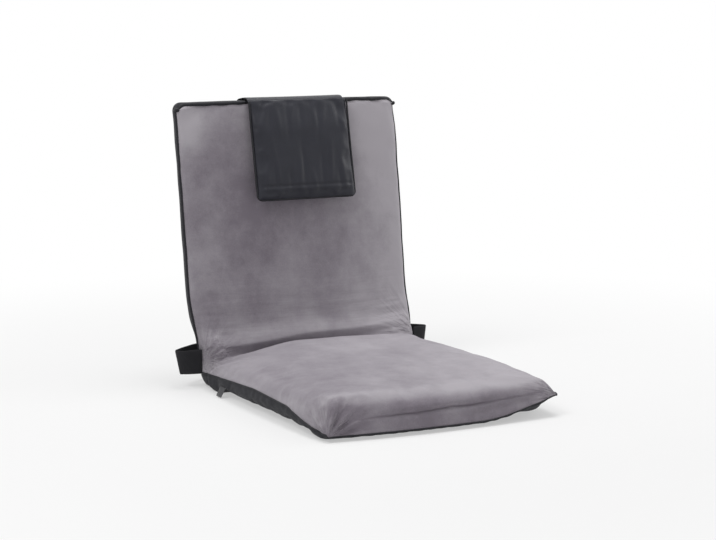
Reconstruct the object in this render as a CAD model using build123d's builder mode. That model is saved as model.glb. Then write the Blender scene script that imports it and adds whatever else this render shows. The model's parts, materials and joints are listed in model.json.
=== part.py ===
"""A folding floor chair: two padded tube frames joined by ratchet hinges, with a headrest.

Origin: centre of the seat's underside, on the floor. +Z is up and the sitter faces -Y.
"""

from build123d import *
import os
from math import atan2, cos, hypot, radians, sin

# --- Overall sizes, mm and degrees ---------------------------------------------------
chair_width = 440.0
seat_depth = 506.0  # hinge axis to the middle of the front edge
back_length = 463.0  # hinge axis to the top edge of the back pad
opening_at_rest = 98.25  # angle between seat and back as the chair stands
pivot_height = 42.0  # hinge axis above the floor

# --- Pads ------------------------------------------------------------------------------
# Heights across a pad are measured from the hinge axis, towards the sitter.
back_rear_height = -38.0
seat_rim_height = 15.0
back_rim_height = 4.0
crown_over_rim = 6.0
crease_rim_height = -2.0  # the pads are thinner beside the hinge, so that they fold flat
crease_crown = 3.0
crease_gap = 20.0  # hinge axis to where each pad begins
crease_taper = 165.0  # length over which a pad reaches its full thickness
taper_stations = 5
middle_stations = 4  # cross sections between the crease taper and the rounded end
seat_side_roll = 22.0  # width of the rounding at a pad's side, from its widest line up
back_side_roll = 18.0
side_roll_share = 0.6  # radius at the shoulder, as a share of the rounding's width
seat_under_round = 14.0
floor_flat = 0.5  # depth cut off the seat's underside, to make it flat
back_under_round = 7.0
side_tuck = 2.5  # how far the sides are drawn in between the corners
seat_nose = 30.0  # length over which the pad rounds off to its far edge
seat_nose_power = 2.6  # 2 is a quarter of an ellipse, more is squarer
back_nose = 18.0
back_nose_power = 2.2
seat_corner = (30.0, 110.0, 1.3)  # along, across and power: a bowed edge with pointed corners
back_corner = (14.0, 14.0, 2.0)
nose_angles = (15, 30, 45, 58, 70, 80, 86)

# --- Fabric ----------------------------------------------------------------------------
cover_thickness = 1.5
fabric_gap = 0.3
piping_stand = 1.5  # how far piping stands proud of the cover
piping_width = 3.0
seat_seam_rear = 20.0  # height of the seat's side seam above the floor, at its rear,
seat_seam_middle = 36.0  # in the middle
seat_seam_front = 8.0  # and at the front
seam_overrun = 10.0  # the cut along the seam runs on past the front edge
back_seam_height = -18.0  # side seam of the back, across the pad
back_top_band = 8.0  # the rear cover comes this far down over the top edge

# --- Tube frames -----------------------------------------------------------------------
tube_diameter = 16.0
tube_wall = 1.5
tube_height = -20.0  # tube centre line, across the pad
tube_edge_distance = 17.0  # tube centre line to the pad's side
tube_end_distance = 24.0  # tube centre line to the pad's far end
tube_corner_radius = 55.0
tube_start = 51.0  # hinge axis to the open tube ends
crossbar_diameter = 12.0
seat_crossbars = {"rear": 160.0, "front": 310.0}
back_crossbars = {"lower": 150.0, "upper": 300.0}
foam_clearance = 0.3
foam_setback = 1.0  # the foam ends this far inside the pad's end at the crease
pocket_above_tube = 11.0  # the foam is cut away round each hinge arm
pocket_depth = 24.0
pocket_length = 46.0
pocket_centre = 40.0  # hinge axis to the pocket's middle
pocket_clearance = 0.7

# --- Ratchet hinge ---------------------------------------------------------------------
tooth_pitch = 5.0  # degrees
teeth_back = 16  # steps from rest to lying flat
teeth_forward = 17  # steps from rest to folded
gear_tip_radius = 15.0
tooth_depth = 1.2
gear_thickness = 6.0
gear_side_clearance = 0.3
cheek_thickness = 2.0
cheek_over_gear = 1.0
arm_reach = 44.0  # hinge axis to where the arms meet the tubes
arm_end_radius = 6.0
gear_arm_bend = (14.0, -16.0)  # where the gear's arm turns, along and across the pad
gear_arm_radius = 7.0
gear_hub_radius = 8.5
plug_length = 26.0
plug_clearance = 0.1
rivet_diameter = 8.0
rivet_clearance = 0.05
rivet_head_diameter = 13.0
rivet_head_height = 1.8
cross_rivet_diameter = 4.0
cross_rivet_distance = 62.0
pawl_pin_rearward = -15.0  # from the hinge axis
pawl_pin_below_gear = 3.5
pawl_pin_diameter = 4.0
pawl_end_rearward = 2.5
pawl_end_below_gear = 4.0
pawl_width = 5.0
pawl_boss_radius = 4.0
pawl_cheek_radius = 8.0
pawl_thickness = 5.6
pawl_tooth_base_gap = 1.8  # from the gear's tips to where the pawl's tooth joins its lever
tooth_clearance = 0.12
tooth_root_gap = 0.1  # flat left between two teeth at their root
spring_anchor_rearward = -22.0
spring_anchor_below_gear = 12.0
spring_tip_back = 1.0  # the spring's tip ends this far short of the pawl's round end
spring_anchor_radius = 3.5
spring_thickness = 0.6
spring_width = 4.0
spring_gap = 0.1

# --- Hinge fabrics ---------------------------------------------------------------------
boot_width = 27.0
boot_side_gap = 2.5  # the boots lie this far inside the pads' sides
boot_over_cheek = 3.4
boot_arc_end = 6.0  # degrees past each pad's line where the boot's arch ends
fold_behind_axis = 26.0  # where the fabric behind the hinge turns towards the seat
fold_above_floor = 2.5
boot_fold_radius = 20.0
sheet_gap = 0.3  # between the end of a sheet and the pad that it is sewn to
crease_fold_radius = 7.0
crease_fold_height = -2.0

# --- Headrest --------------------------------------------------------------------------
headrest_width = 196.0
headrest_drop = 186.0  # from the back's top edge to the pad's lower edge
headrest_thickness = 23.0
headrest_rear_height = 10.6
headrest_nose = 14.0
headrest_corner_across = 7.0
headrest_nose_power = 2.0
headrest_top_share = 0.5  # thickness left at the pad's top
headrest_top_taper = 80.0
headrest_taper_shares = (0.2, 0.4, 0.6, 0.8, 1.0)
headrest_crown = 5.0
headrest_crown_loss = 0.6  # share of the crown gone at the top
headrest_round = 7.0
headrest_under_round = 2.0
headrest_round_share = 0.8  # most of its height that the side's rounding takes in width
headrest_top_distance = 18.0  # the pad's top end below the back's top edge
headrest_stations = 4
headrest_band = 6.0
headrest_band_gap = 0.5
headrest_band_front = 12.0  # centre of the band in front of the back's edge
headrest_band_radius = 16.0
headrest_flap_drop = 110.0
strip_width = 120.0
strip_thickness = 1.2
strip_gap = 0.3
hook_strip_height = 40.0
loop_strip_height = 95.0
hook_strip_margin = 5.0  # from the flap's lower end
loop_strip_drop = 22.0  # below the back's top edge

# --- Carry strap, tag and zip ----------------------------------------------------------
strap_width = 46.0
strap_thickness = 2.4
strap_floor_gap = 12.0
strap_bulge = 33.0  # how far it stands out beside the chair
strap_rear = 72.0  # how far behind the hinge axis it passes
strap_radius = 24.0
strap_end = (-1.5, -6.0)  # sewn end, from the pad's side and the hinge axis
strap_bends = ((8.0, 1.0), (40.0, 1.0))  # behind the axis, and share of the bulge
strap_turn = 18.0  # where it turns in behind the pad, inside the pad's side
tag_length = 22.0
tag_reach = 10.0
tag_thickness = 1.0
tag_distance = 101.0  # hinge axis to the tag
tag_root_height = 17.0  # above the floor
tag_floor_height = 1.3
tag_gap = 0.2
zip_length = 340.0
zip_distance = 45.0  # hinge axis to the zip, along the back
zip_tape_width = 11.0
zip_tape_thickness = 0.8
zip_tape_gap = 1.0
zip_coil_width = 4.0
zip_coil_height = 1.6
slider_length = 10.0
slider_width = 9.0
slider_corner = 2.2
slider_margin = 15.0  # slider's centre to the zip's end
slider_wall = 0.8
slider_clearance = 0.25

# --- Derived values --------------------------------------------------------------------
pivot_y = seat_depth / 2
lean = opening_at_rest - 90
pad_half_width = chair_width / 2 - piping_stand
hinge_x = pad_half_width - tube_edge_distance
boot_fold = (fold_behind_axis, fold_above_floor - pivot_height)
tube_bore = tube_diameter - 2 * tube_wall
gear_half = gear_thickness / 2
gear_root_radius = gear_tip_radius - tooth_depth
cheek_radius = gear_tip_radius + cheek_over_gear
boot_radius = cheek_radius + boot_over_cheek
pawl_pin = (pawl_pin_rearward, -gear_tip_radius - pawl_pin_below_gear)
pawl_end = (pawl_end_rearward, -gear_tip_radius - pawl_end_below_gear)
pawl_tooth_base = gear_tip_radius + pawl_tooth_base_gap
spring_anchor = (spring_anchor_rearward, -gear_tip_radius - spring_anchor_below_gear)
cheek_inner = gear_half + gear_side_clearance
cheek_outer = cheek_inner + cheek_thickness
sides = {"left": 1, "right": -1}

# Each pad has a frame of its own at the hinge axis: x across the chair, y towards the
# sitter and z along the pad, away from the hinge.
pivot = (0, pivot_y, pivot_height)
seat_frame = Plane(origin=pivot, x_dir=(1, 0, 0), z_dir=(0, -1, 0))
back_frame = Plane(
    origin=pivot, x_dir=(-1, 0, 0), z_dir=(0, sin(radians(lean)), cos(radians(lean)))
)


def finish(piece, name):
    """Label a finished piece and write it."""
    piece.part.label = name
    export_step(piece.part, f"parts/{name}.step")


def lying_plane(frame, height):
    """The plane through a pad at a height across it, with y along the pad."""
    origin = frame.from_local_coords((0, height, 0))
    return Plane(origin=origin, x_dir=frame.x_dir, z_dir=-frame.y_dir)


def hinge_plane(x):
    """The plane across the hinge axis at x, with its origin on the axis, y up."""
    return Plane(origin=(x, pivot_y, pivot_height), x_dir=(0, 1, 0), z_dir=(1, 0, 0))


def seat_point(along, height):
    """A point of the seat pad's side view, on the hinge plane."""
    return (-along, height)


def back_point(along, height):
    """A point of the back pad's side view, on the hinge plane."""
    turn = radians(lean)
    return (
        along * sin(turn) - height * cos(turn),
        along * cos(turn) + height * sin(turn),
    )


# --- Pad forms -------------------------------------------------------------------------


def end_share(distance, reach, power):
    """Share of the full size at a distance from a rounded end."""
    if distance >= reach:
        return 1.0
    return (1 - (1 - distance / reach) ** power) ** (1 / power)


def pad_section(plane, half_width, low, rim, crown, roll, under_round):
    """A cushion's cross section: flat below, rolled sides and a crowned top."""
    wide = low + under_round
    tall = rim - wide
    tight = roll * side_roll_share
    broad = (roll**2 + tall**2 - 2 * tall * tight) / (2 * (roll - tight))
    inner = half_width - roll
    turn = (
        inner + tight * (broad - roll) / (broad - tight),
        rim - tight + tight * (tall - tight) / (broad - tight),
    )
    slant = 1 - sin(radians(45))
    with BuildSketch(plane) as section:
        with BuildLine():
            Line((under_round - half_width, low), (half_width - under_round, low))
            for side in (1, -1):
                ThreePointArc(
                    (side * (half_width - under_round), low),
                    (side * (half_width - under_round * slant), low + under_round * slant),
                    (side * half_width, wide),
                )
                TangentArc((side * half_width, wide), (side * turn[0], turn[1]), tangent=(0, 1))
                TangentArc((side * inner, rim), (side * turn[0], turn[1]), tangent=(side, 0))
            ThreePointArc((inner, rim), (0, crown), (-inner, rim))
        make_face()
    return section.sketch


def pad_swell(length, along):
    """How far along its swelling a pad is: 0 at both ends and 1 in the middle."""
    run = min(1.0, max(0.0, (along - crease_gap) / (length - crease_gap)))
    return sin(radians(180 * run))


def smooth_rise(share):
    """A rise from 0 to 1 that starts and ends level."""
    share = min(1.0, max(0.0, share))
    return share * share * (3 - 2 * share)


def pad_solid(frame, length, low, rim_height, seam, rolls, nose, corner, inset, start):
    """A pad's outer form, or the same form set in by inset, from start to its far end."""
    end = length - inset
    side_roll, under_round = rolls
    nose_length, nose_power = nose
    corner_along, corner_across, corner_power = corner
    nose_start = end - max(nose_length, corner_along)
    taper_end = crease_gap + crease_taper
    straight = nose_start - taper_end

    def section(along):
        rise = smooth_rise((along - crease_gap) / crease_taper)
        swell = pad_swell(length, along)
        thick = end_share(end - along, nose_length, nose_power)
        bow = 1 - end_share(end - along, corner_along, corner_power)
        rim = crease_rim_height + (rim_height - crease_rim_height) * rise
        crown = rim + crease_crown + (crown_over_rim - crease_crown) * swell
        return pad_section(
            frame.offset(along),
            pad_half_width - side_tuck * swell - corner_across * bow - inset,
            seam + (low + inset - seam) * thick,
            seam + (rim - inset - seam) * thick,
            seam + (crown - inset - seam) * thick,
            side_roll * thick,
            under_round * thick,
        )

    taper_step = crease_taper / taper_stations
    middle_step = straight / middle_stations
    stations = [start]
    stations += [crease_gap + taper_step * step for step in range(1, taper_stations + 1)]
    stations += [taper_end + middle_step * step for step in range(1, middle_stations + 1)]
    turns = [nose_start]
    turns += [end - (end - nose_start) * (1 - sin(radians(a))) for a in nose_angles]
    with BuildPart() as pad:
        loft(sections=[section(along) for along in stations])
        loft(sections=[section(along) for along in turns])
        split(bisect_by=Plane.XY.offset(inset), keep=Keep.TOP)
    return pad.part


def seat_solid(inset, start=crease_gap):
    seam = seat_seam_front - pivot_height
    low = -pivot_height - floor_flat
    rolls = (seat_side_roll, seat_under_round)
    nose = (seat_nose, seat_nose_power)
    return pad_solid(
        seat_frame, seat_depth, low, seat_rim_height,
        seam, rolls, nose, seat_corner, inset, start,
    )


def back_solid(inset, start=crease_gap):
    rolls = (back_side_roll, back_under_round)
    nose = (back_nose, back_nose_power)
    return pad_solid(
        back_frame, back_length, back_rear_height, back_rim_height,
        back_seam_height, rolls, nose, back_corner, inset, start,
    )


# --- Tube frames and foam --------------------------------------------------------------


def frame_path(frame, length, start):
    """Centre line of a bent tube: up one side, across the far end and back."""
    reach = length - tube_end_distance
    with BuildLine(lying_plane(frame, tube_height)) as path:
        FilletPolyline(
            (-hinge_x, start),
            (-hinge_x, reach),
            (hinge_x, reach),
            (hinge_x, start),
            radius=tube_corner_radius,
        )
    return path.line


def swept_tube(path, diameter, bore=0.0):
    """A round section swept along a path, with its bore if it has one."""
    with BuildPart() as tube:
        with BuildSketch(Plane(origin=path @ 0, z_dir=path % 0)):
            Circle(diameter / 2)
            if bore:
                Circle(bore / 2, mode=Mode.SUBTRACT)
        sweep(path=path)
    return tube.part


def crossbar_plane(frame, along):
    """The section plane of a cross bar, at the chair's centre."""
    origin = frame.from_local_coords((0, tube_height, along))
    return Plane(origin=origin, x_dir=frame.y_dir, z_dir=frame.x_dir)


os.makedirs("parts", exist_ok=True)

frames = {
    "seat": (seat_frame, seat_depth, seat_crossbars, seat_solid),
    "back": (back_frame, back_length, back_crossbars, back_solid),
}
layers = {"seat": ("upper", "lower"), "back": ("front", "rear")}

for pad, (frame, length, crossbars, pad_form) in frames.items():
    tube_path = frame_path(frame, length, tube_start)
    side_point = seat_point if pad == "seat" else back_point
    rivet_point = side_point(cross_rivet_distance, tube_height)

    with BuildPart() as frame_tube:
        add(swept_tube(tube_path, tube_diameter, tube_bore))
        for sign in sides.values():
            with BuildSketch(hinge_plane(sign * hinge_x)):
                with Locations(rivet_point):
                    Circle(cross_rivet_diameter / 2)
            extrude(amount=tube_diameter, both=True, mode=Mode.SUBTRACT)
    finish(frame_tube, f"{pad}_frame_tube")

    with BuildPart() as tube_rivets:
        for sign in sides.values():
            with BuildSketch(hinge_plane(sign * hinge_x)):
                with Locations(rivet_point):
                    Circle(cross_rivet_diameter / 2)
            extrude(amount=tube_diameter / 2, both=True)
    finish(tube_rivets, f"{pad}_tube_rivets")

    for place, along in crossbars.items():
        with BuildPart() as crossbar:
            with BuildSketch(crossbar_plane(frame, along)):
                Circle(crossbar_diameter / 2)
            extrude(amount=hinge_x, both=True)
            add(swept_tube(tube_path, tube_diameter), mode=Mode.SUBTRACT)
        finish(crossbar, f"{pad}_crossbar_{place}")

    channel_path = frame_path(frame, length, crease_gap)
    channel_diameter = tube_diameter + 2 * foam_clearance
    with BuildPart() as whole_foam:
        add(pad_form(cover_thickness + fabric_gap, crease_gap + foam_setback))
        add(swept_tube(channel_path, channel_diameter), mode=Mode.SUBTRACT)
        for along in crossbars.values():
            with BuildSketch(crossbar_plane(frame, along)):
                Circle(crossbar_diameter / 2 + foam_clearance)
            extrude(amount=hinge_x, both=True, mode=Mode.SUBTRACT)
        with BuildSketch(lying_plane(frame, tube_height + pocket_above_tube)):
            with Locations((hinge_x, pocket_centre), (-hinge_x, pocket_centre)):
                Rectangle(2 * (cheek_outer + pocket_clearance), pocket_length)
        extrude(amount=pocket_depth, mode=Mode.SUBTRACT)
    for layer, keep in zip(layers[pad], (Keep.BOTTOM, Keep.TOP)):
        with BuildPart() as foam:
            split(whole_foam.part, bisect_by=lying_plane(frame, tube_height), keep=keep)
        finish(foam, f"{pad}_foam_{layer}")


# --- Covers ----------------------------------------------------------------------------


def below_seat_seam(raised):
    """The space below the seat's side seam, which arches along the side."""
    rear = seat_point(0, seat_seam_rear + raised - pivot_height)
    middle = seat_point(seat_depth / 2, seat_seam_middle + raised - pivot_height)
    front = seat_point(seat_depth + seam_overrun, seat_seam_front + raised - pivot_height)
    deep = -2 * pivot_height
    with BuildPart() as space:
        with BuildSketch(hinge_plane(0)):
            with BuildLine():
                ThreePointArc(rear, middle, front)
                Polyline(front, (front[0], deep), (rear[0], deep), rear)
            make_face()
        extrude(amount=chair_width, both=True)
    return space.part


def before_back_seam():
    """The space in front of the back's side seam and below its top band."""
    top = back_length - back_top_band
    with BuildPart() as space:
        with BuildSketch(lying_plane(back_frame, back_seam_height)):
            with Locations((0, top / 2)):
                Rectangle(2 * chair_width, top)
        extrude(amount=-pivot_height)
    return space.part


for name, pad_form, space, mode in (
    ("seat_base_cover", seat_solid, below_seat_seam(0), Mode.INTERSECT),
    ("seat_top_cover", seat_solid, below_seat_seam(0), Mode.SUBTRACT),
    ("back_front_cover", back_solid, before_back_seam(), Mode.INTERSECT),
    ("back_rear_cover", back_solid, before_back_seam(), Mode.SUBTRACT),
):
    with BuildPart() as cover:
        add(pad_form(0))
        add(pad_form(cover_thickness, crease_gap - 1), mode=Mode.SUBTRACT)
        add(space, mode=mode)
    finish(cover, name)

with BuildPart() as seat_piping:
    add(seat_solid(-piping_stand))
    add(seat_solid(0), mode=Mode.SUBTRACT)
    add(below_seat_seam(piping_width / 2), mode=Mode.INTERSECT)
    add(below_seat_seam(-piping_width / 2), mode=Mode.SUBTRACT)
finish(seat_piping, "seat_piping")


# --- Ratchet hinges --------------------------------------------------------------------

pitch_half = radians(tooth_pitch) / 2
tooth_flank = (gear_tip_radius * pitch_half - tooth_root_gap / 2) / (
    gear_tip_radius - gear_root_radius
)
flank_clearance = tooth_clearance * hypot(1, tooth_flank)
seat_arm_end = seat_point(arm_reach, tube_height)
back_arm_end = back_point(arm_reach, tube_height)
pawl_angle = -90.0  # the pawl meets the gear straight below the hinge axis


def hull_plate(plane, circles, thickness):
    """A plate round a row of circles, each given by its centre and radius."""
    with BuildPart() as plate:
        with BuildSketch(plane):
            for centre, radius in circles:
                with Locations(centre):
                    Circle(radius)
            make_hull()
        extrude(amount=thickness)
    return plate.part


def tube_plug(frame, x):
    """The round end of a hinge arm, with the hole for its cross rivet."""
    across = frame.x_dir.X * x
    with BuildPart() as plug:
        with BuildSketch(frame.offset(arm_reach)):
            with Locations((across, tube_height)):
                Circle(tube_bore / 2 - plug_clearance)
        extrude(amount=plug_length)
        side_point = seat_point if frame is seat_frame else back_point
        with BuildSketch(hinge_plane(x)):
            with Locations(side_point(cross_rivet_distance, tube_height)):
                Circle(cross_rivet_diameter / 2)
        extrude(amount=tube_diameter, both=True, mode=Mode.SUBTRACT)
    return plug.part


for side, sign in sides.items():
    x = sign * hinge_x
    hinge_origin = (0, 0)

    with BuildPart() as ratchet_gear:
        with BuildSketch(hinge_plane(x - gear_half)):
            Circle(gear_root_radius)
            base = gear_root_radius * pitch_half - tooth_root_gap / 2
            for step in range(-teeth_forward - 1, teeth_back + 1):
                angle = pawl_angle + (step + 0.5) * tooth_pitch
                with Locations(Location((0, 0, 0), (0, 0, angle))):
                    Polygon(
                        (gear_root_radius - tooth_root_gap, -base),
                        (gear_tip_radius, 0),
                        (gear_root_radius - tooth_root_gap, base),
                        align=None,
                    )
        extrude(amount=gear_thickness)
        bend = back_point(*gear_arm_bend)
        gear_plane = hinge_plane(x - gear_half)
        hub = (hinge_origin, gear_hub_radius)
        elbow = (bend, gear_arm_radius)
        add(hull_plate(gear_plane, (hub, elbow), gear_thickness))
        add(hull_plate(gear_plane, (elbow, (back_arm_end, arm_end_radius)), gear_thickness))
        add(tube_plug(back_frame, x))
        with BuildSketch(hinge_plane(x)):
            Circle(rivet_diameter / 2 + rivet_clearance)
        extrude(amount=gear_thickness, both=True, mode=Mode.SUBTRACT)
    finish(ratchet_gear, f"ratchet_gear_{side}")

    with BuildPart() as clevis:
        for start in (-cheek_outer, cheek_inner):
            cheek_plane = hinge_plane(x + start)
            top = (hinge_origin, cheek_radius)
            low = (pawl_pin, pawl_cheek_radius)
            heel = (spring_anchor, spring_anchor_radius)
            end = (seat_arm_end, arm_end_radius)
            add(hull_plate(cheek_plane, (top, low), cheek_thickness))
            add(hull_plate(cheek_plane, (low, heel, end), cheek_thickness))
        with BuildSketch(hinge_plane(x)):
            with Locations(spring_anchor):
                Circle(spring_anchor_radius)
            with Locations(seat_arm_end):
                Circle(arm_end_radius)
        extrude(amount=cheek_inner, both=True)
        add(tube_plug(seat_frame, x))
        with BuildSketch(hinge_plane(x)):
            Circle(rivet_diameter / 2)
            with Locations(pawl_pin):
                Circle(pawl_pin_diameter / 2)
        extrude(amount=cheek_outer, both=True, mode=Mode.SUBTRACT)
    finish(clevis, f"hinge_clevis_{side}")

    with BuildPart() as pivot_rivet:
        with BuildSketch(hinge_plane(x)):
            Circle(rivet_diameter / 2)
        extrude(amount=cheek_outer, both=True)
        for face_x in (cheek_outer, -cheek_outer - rivet_head_height):
            with BuildSketch(hinge_plane(x + face_x)):
                Circle(rivet_head_diameter / 2)
            extrude(amount=rivet_head_height)
    finish(pivot_rivet, f"pivot_rivet_{side}")

    with BuildPart() as pin:
        with BuildSketch(hinge_plane(x)):
            with Locations(pawl_pin):
                Circle(pawl_pin_diameter / 2)
        extrude(amount=cheek_outer, both=True)
    finish(pin, f"pawl_pin_{side}")

    with BuildPart() as pawl:
        lever_plane = hinge_plane(x - pawl_thickness / 2)
        boss = (pawl_pin, pawl_boss_radius)
        nose = (pawl_end, pawl_width / 2)
        add(hull_plate(lever_plane, (boss, nose), pawl_thickness))
        with BuildSketch(lever_plane):
            tip_radius = gear_root_radius + (flank_clearance - tooth_root_gap / 2) / tooth_flank
            half_base = (pawl_tooth_base - tip_radius) * tooth_flank
            with Locations(Location((0, 0, 0), (0, 0, pawl_angle))):
                Polygon(
                    (tip_radius, 0),
                    (pawl_tooth_base, -half_base),
                    (pawl_tooth_base, half_base),
                    align=None,
                )
        extrude(amount=pawl_thickness)
        with BuildSketch(hinge_plane(x)):
            with Locations(pawl_pin):
                Circle(pawl_pin_diameter / 2 + rivet_clearance)
        extrude(amount=pawl_thickness, both=True, mode=Mode.SUBTRACT)
    finish(pawl, f"pawl_{side}")

    spring_end = (
        pawl_end[0] - spring_tip_back,
        pawl_end[1] - pawl_width / 2 - spring_gap - spring_thickness,
    )
    rise = atan2(spring_end[1] - spring_anchor[1], spring_end[0] - spring_anchor[0])
    leave = spring_anchor_radius + spring_gap
    spring_start = (
        spring_anchor[0] + leave * cos(rise),
        spring_anchor[1] + leave * sin(rise),
    )
    with BuildPart() as pawl_spring:
        with BuildSketch(hinge_plane(x - spring_width / 2)):
            with BuildLine():
                Line(spring_start, spring_end)
            trace(line_width=spring_thickness)
        extrude(amount=spring_width)
    finish(pawl_spring, f"pawl_spring_{side}")


# --- Fabric over the hinge -------------------------------------------------------------

sheet_end = crease_gap - sheet_gap
sheet_half = cover_thickness / 2
boot_outer = pad_half_width - boot_side_gap
sheet_half_width = boot_outer - boot_width - sheet_gap

with BuildPart() as crease_panel:
    with BuildSketch(hinge_plane(-sheet_half_width)):
        with BuildLine():
            FilletPolyline(
                seat_point(sheet_end, crease_rim_height + sheet_half),
                (0, crease_fold_height),
                back_point(sheet_end, crease_rim_height + sheet_half),
                radius=crease_fold_radius,
            )
        trace(line_width=cover_thickness)
    extrude(amount=2 * sheet_half_width)
finish(crease_panel, "crease_panel")

rear_sheet_back = back_point(sheet_end, back_rear_height + cover_thickness)
rear_sheet_seat = seat_point(sheet_end, cover_thickness - pivot_height)

with BuildPart() as rear_gusset:
    with BuildSketch(hinge_plane(-sheet_half_width)):
        with BuildLine():
            FilletPolyline(rear_sheet_back, boot_fold, rear_sheet_seat, radius=boot_fold_radius)
        trace(line_width=cover_thickness)
    extrude(amount=2 * sheet_half_width)
finish(rear_gusset, "rear_gusset")


def boot_section(plane, inset):
    """Side outline of the fabric boot over a hinge, set in by the fabric's thickness."""
    radius = boot_radius - inset
    angles = (180 + boot_arc_end, 135 - lean / 2, 90 - lean - boot_arc_end)
    arch = [(radius * cos(radians(a)), radius * sin(radians(a))) for a in angles]
    fold = (boot_fold[0] - inset, boot_fold[1] + inset)
    with BuildSketch(plane) as section:
        with BuildLine():
            ThreePointArc(*arch)
            Polyline(
                arch[2],
                back_point(sheet_end, back_rear_height + cover_thickness + inset),
                fold,
                seat_point(sheet_end, cover_thickness - pivot_height + inset),
                arch[0],
            )
        make_face()
    return section.sketch


def boot_mouth(plane, side_point, low):
    """The opening of a boot towards one pad, through which the hinge arm passes."""
    inner = gear_root_radius
    edge = low + 2 * cover_thickness
    top = crease_rim_height + cover_thickness
    with BuildSketch(plane) as mouth:
        Polygon(
            side_point(crease_gap, top),
            side_point(inner, top),
            side_point(inner, edge),
            side_point(crease_gap, edge),
            align=None,
        )
    return mouth.sketch


for side, sign in sides.items():
    outer_x = sign * boot_outer
    inner_x = outer_x - sign * boot_width
    outside = hinge_plane(min(outer_x, inner_x))
    inside = outside.offset(0 if sign > 0 else cover_thickness)
    hollow = boot_width - cover_thickness
    with BuildPart() as boot:
        extrude(boot_section(outside, 0), amount=boot_width)
        extrude(boot_section(inside, cover_thickness), amount=hollow, mode=Mode.SUBTRACT)
        seat_mouth = boot_mouth(inside, seat_point, -pivot_height)
        extrude(seat_mouth, amount=hollow, mode=Mode.SUBTRACT)
        back_mouth = boot_mouth(inside, back_point, back_rear_height)
        extrude(back_mouth, amount=hollow, mode=Mode.SUBTRACT)
    finish(boot, f"hinge_boot_{side}")


# --- Headrest --------------------------------------------------------------------------

headrest_low = back_length - headrest_drop
headrest_high = back_length - headrest_top_distance
flap_inner_height = back_rear_height - 2 * (strip_thickness + strip_gap)


def headrest_sections(inset, top):
    """Cross sections of the head pad: full below, thinner where it bends over the back."""
    low = headrest_low + inset
    taper_start = headrest_high - headrest_top_taper
    stations = [low + headrest_nose * (1 - sin(radians(a))) for a in reversed(nose_angles)]
    straight = taper_start - (headrest_low + headrest_nose)
    stations += [
        headrest_low + headrest_nose + straight * step / headrest_stations
        for step in range(headrest_stations + 1)
    ]
    stations += [taper_start + (top - taper_start) * share for share in headrest_taper_shares]
    sections = []
    for along in stations:
        nose = end_share(along - low, headrest_nose, headrest_nose_power)
        fall = smooth_rise((along - taper_start) / headrest_top_taper)
        full = headrest_thickness * (1 - (1 - headrest_top_share) * fall)
        rim = full - headrest_crown * (1 - headrest_crown_loss * fall)
        core = headrest_rear_height + rim / 2
        tall = rim - 2 * inset - headrest_under_round
        half_width = headrest_width / 2 - inset - headrest_corner_across * (1 - nose)
        sections.append(
            pad_section(
                back_frame.offset(along),
                half_width,
                core + (headrest_rear_height + inset - core) * nose,
                core + (headrest_rear_height + rim - inset - core) * nose,
                core + (headrest_rear_height + full - inset - core) * nose,
                min(headrest_round, tall * headrest_round_share) * nose,
                headrest_under_round * nose,
            )
        )
    return sections


with BuildPart() as headrest_cover:
    loft(sections=headrest_sections(0, headrest_high))
    loft(sections=headrest_sections(cover_thickness, headrest_high + 1), mode=Mode.SUBTRACT)
finish(headrest_cover, "headrest_cover")

with BuildPart() as headrest_foam:
    loft(sections=headrest_sections(cover_thickness + fabric_gap, headrest_high - 1))
finish(headrest_foam, "headrest_foam")

band_half = headrest_band / 2
band_start = headrest_high + headrest_band_gap
band_top = back_length + headrest_band_gap + band_half
band_end = back_length - headrest_flap_drop
band_rear = flap_inner_height - band_half
band_half_width = headrest_width / 2 - headrest_round
hook_strip_top = band_end + hook_strip_margin + hook_strip_height
loop_strip_top = back_length - loop_strip_drop

with BuildPart() as headrest_flap:
    with BuildSketch(hinge_plane(-band_half_width)):
        with BuildLine():
            FilletPolyline(
                back_point(band_start, headrest_band_front),
                back_point(band_top, headrest_band_front),
                back_point(band_top, band_rear),
                back_point(band_end, band_rear),
                radius=headrest_band_radius,
            )
        trace(line_width=headrest_band)
    extrude(amount=2 * band_half_width)
finish(headrest_flap, "headrest_flap")

for name, face_height, top, height in (
    ("hook_strip", flap_inner_height + strip_thickness, hook_strip_top, hook_strip_height),
    ("loop_strip", back_rear_height - strip_gap, loop_strip_top, loop_strip_height),
):
    with BuildPart() as strip:
        with BuildSketch(lying_plane(back_frame, face_height)):
            with Locations((0, top - height / 2)):
                Rectangle(strip_width, height)
        extrude(amount=strip_thickness)
    finish(strip, name)


# --- Carry strap -----------------------------------------------------------------------

strap_x = pad_half_width + strap_bulge
strap_half = [(pad_half_width + strap_end[0], pivot_y + strap_end[1])]
strap_half += [(strap_x * share, pivot_y + back) for back, share in strap_bends]
strap_half += [(pad_half_width - strap_turn, pivot_y + strap_rear)]
strap_route = strap_half + [(-x, y) for x, y in reversed(strap_half)]

with BuildPart() as carry_strap:
    with BuildSketch(Plane.XY.offset(strap_floor_gap)):
        with BuildLine():
            FilletPolyline(*strap_route, radius=strap_radius)
        trace(line_width=strap_thickness)
    extrude(amount=strap_width)
finish(carry_strap, "carry_strap")


# --- Side tag --------------------------------------------------------------------------

tag_plane = Plane(
    origin=(0, pivot_y - tag_distance + tag_length / 2, 0), x_dir=(1, 0, 0), z_dir=(0, -1, 0)
)
tag_side = pad_half_width - side_tuck * pad_swell(seat_depth, tag_distance)
tag_root = (-tag_side - tag_gap - tag_thickness / 2, tag_root_height)
with BuildPart() as side_tag:
    with BuildSketch(tag_plane):
        with BuildLine():
            Line(tag_root, (tag_root[0] - tag_reach, tag_floor_height))
        trace(line_width=tag_thickness)
    extrude(amount=tag_length)
finish(side_tag, "side_tag")


# --- Zip at the back's lower rear ------------------------------------------------------

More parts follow.
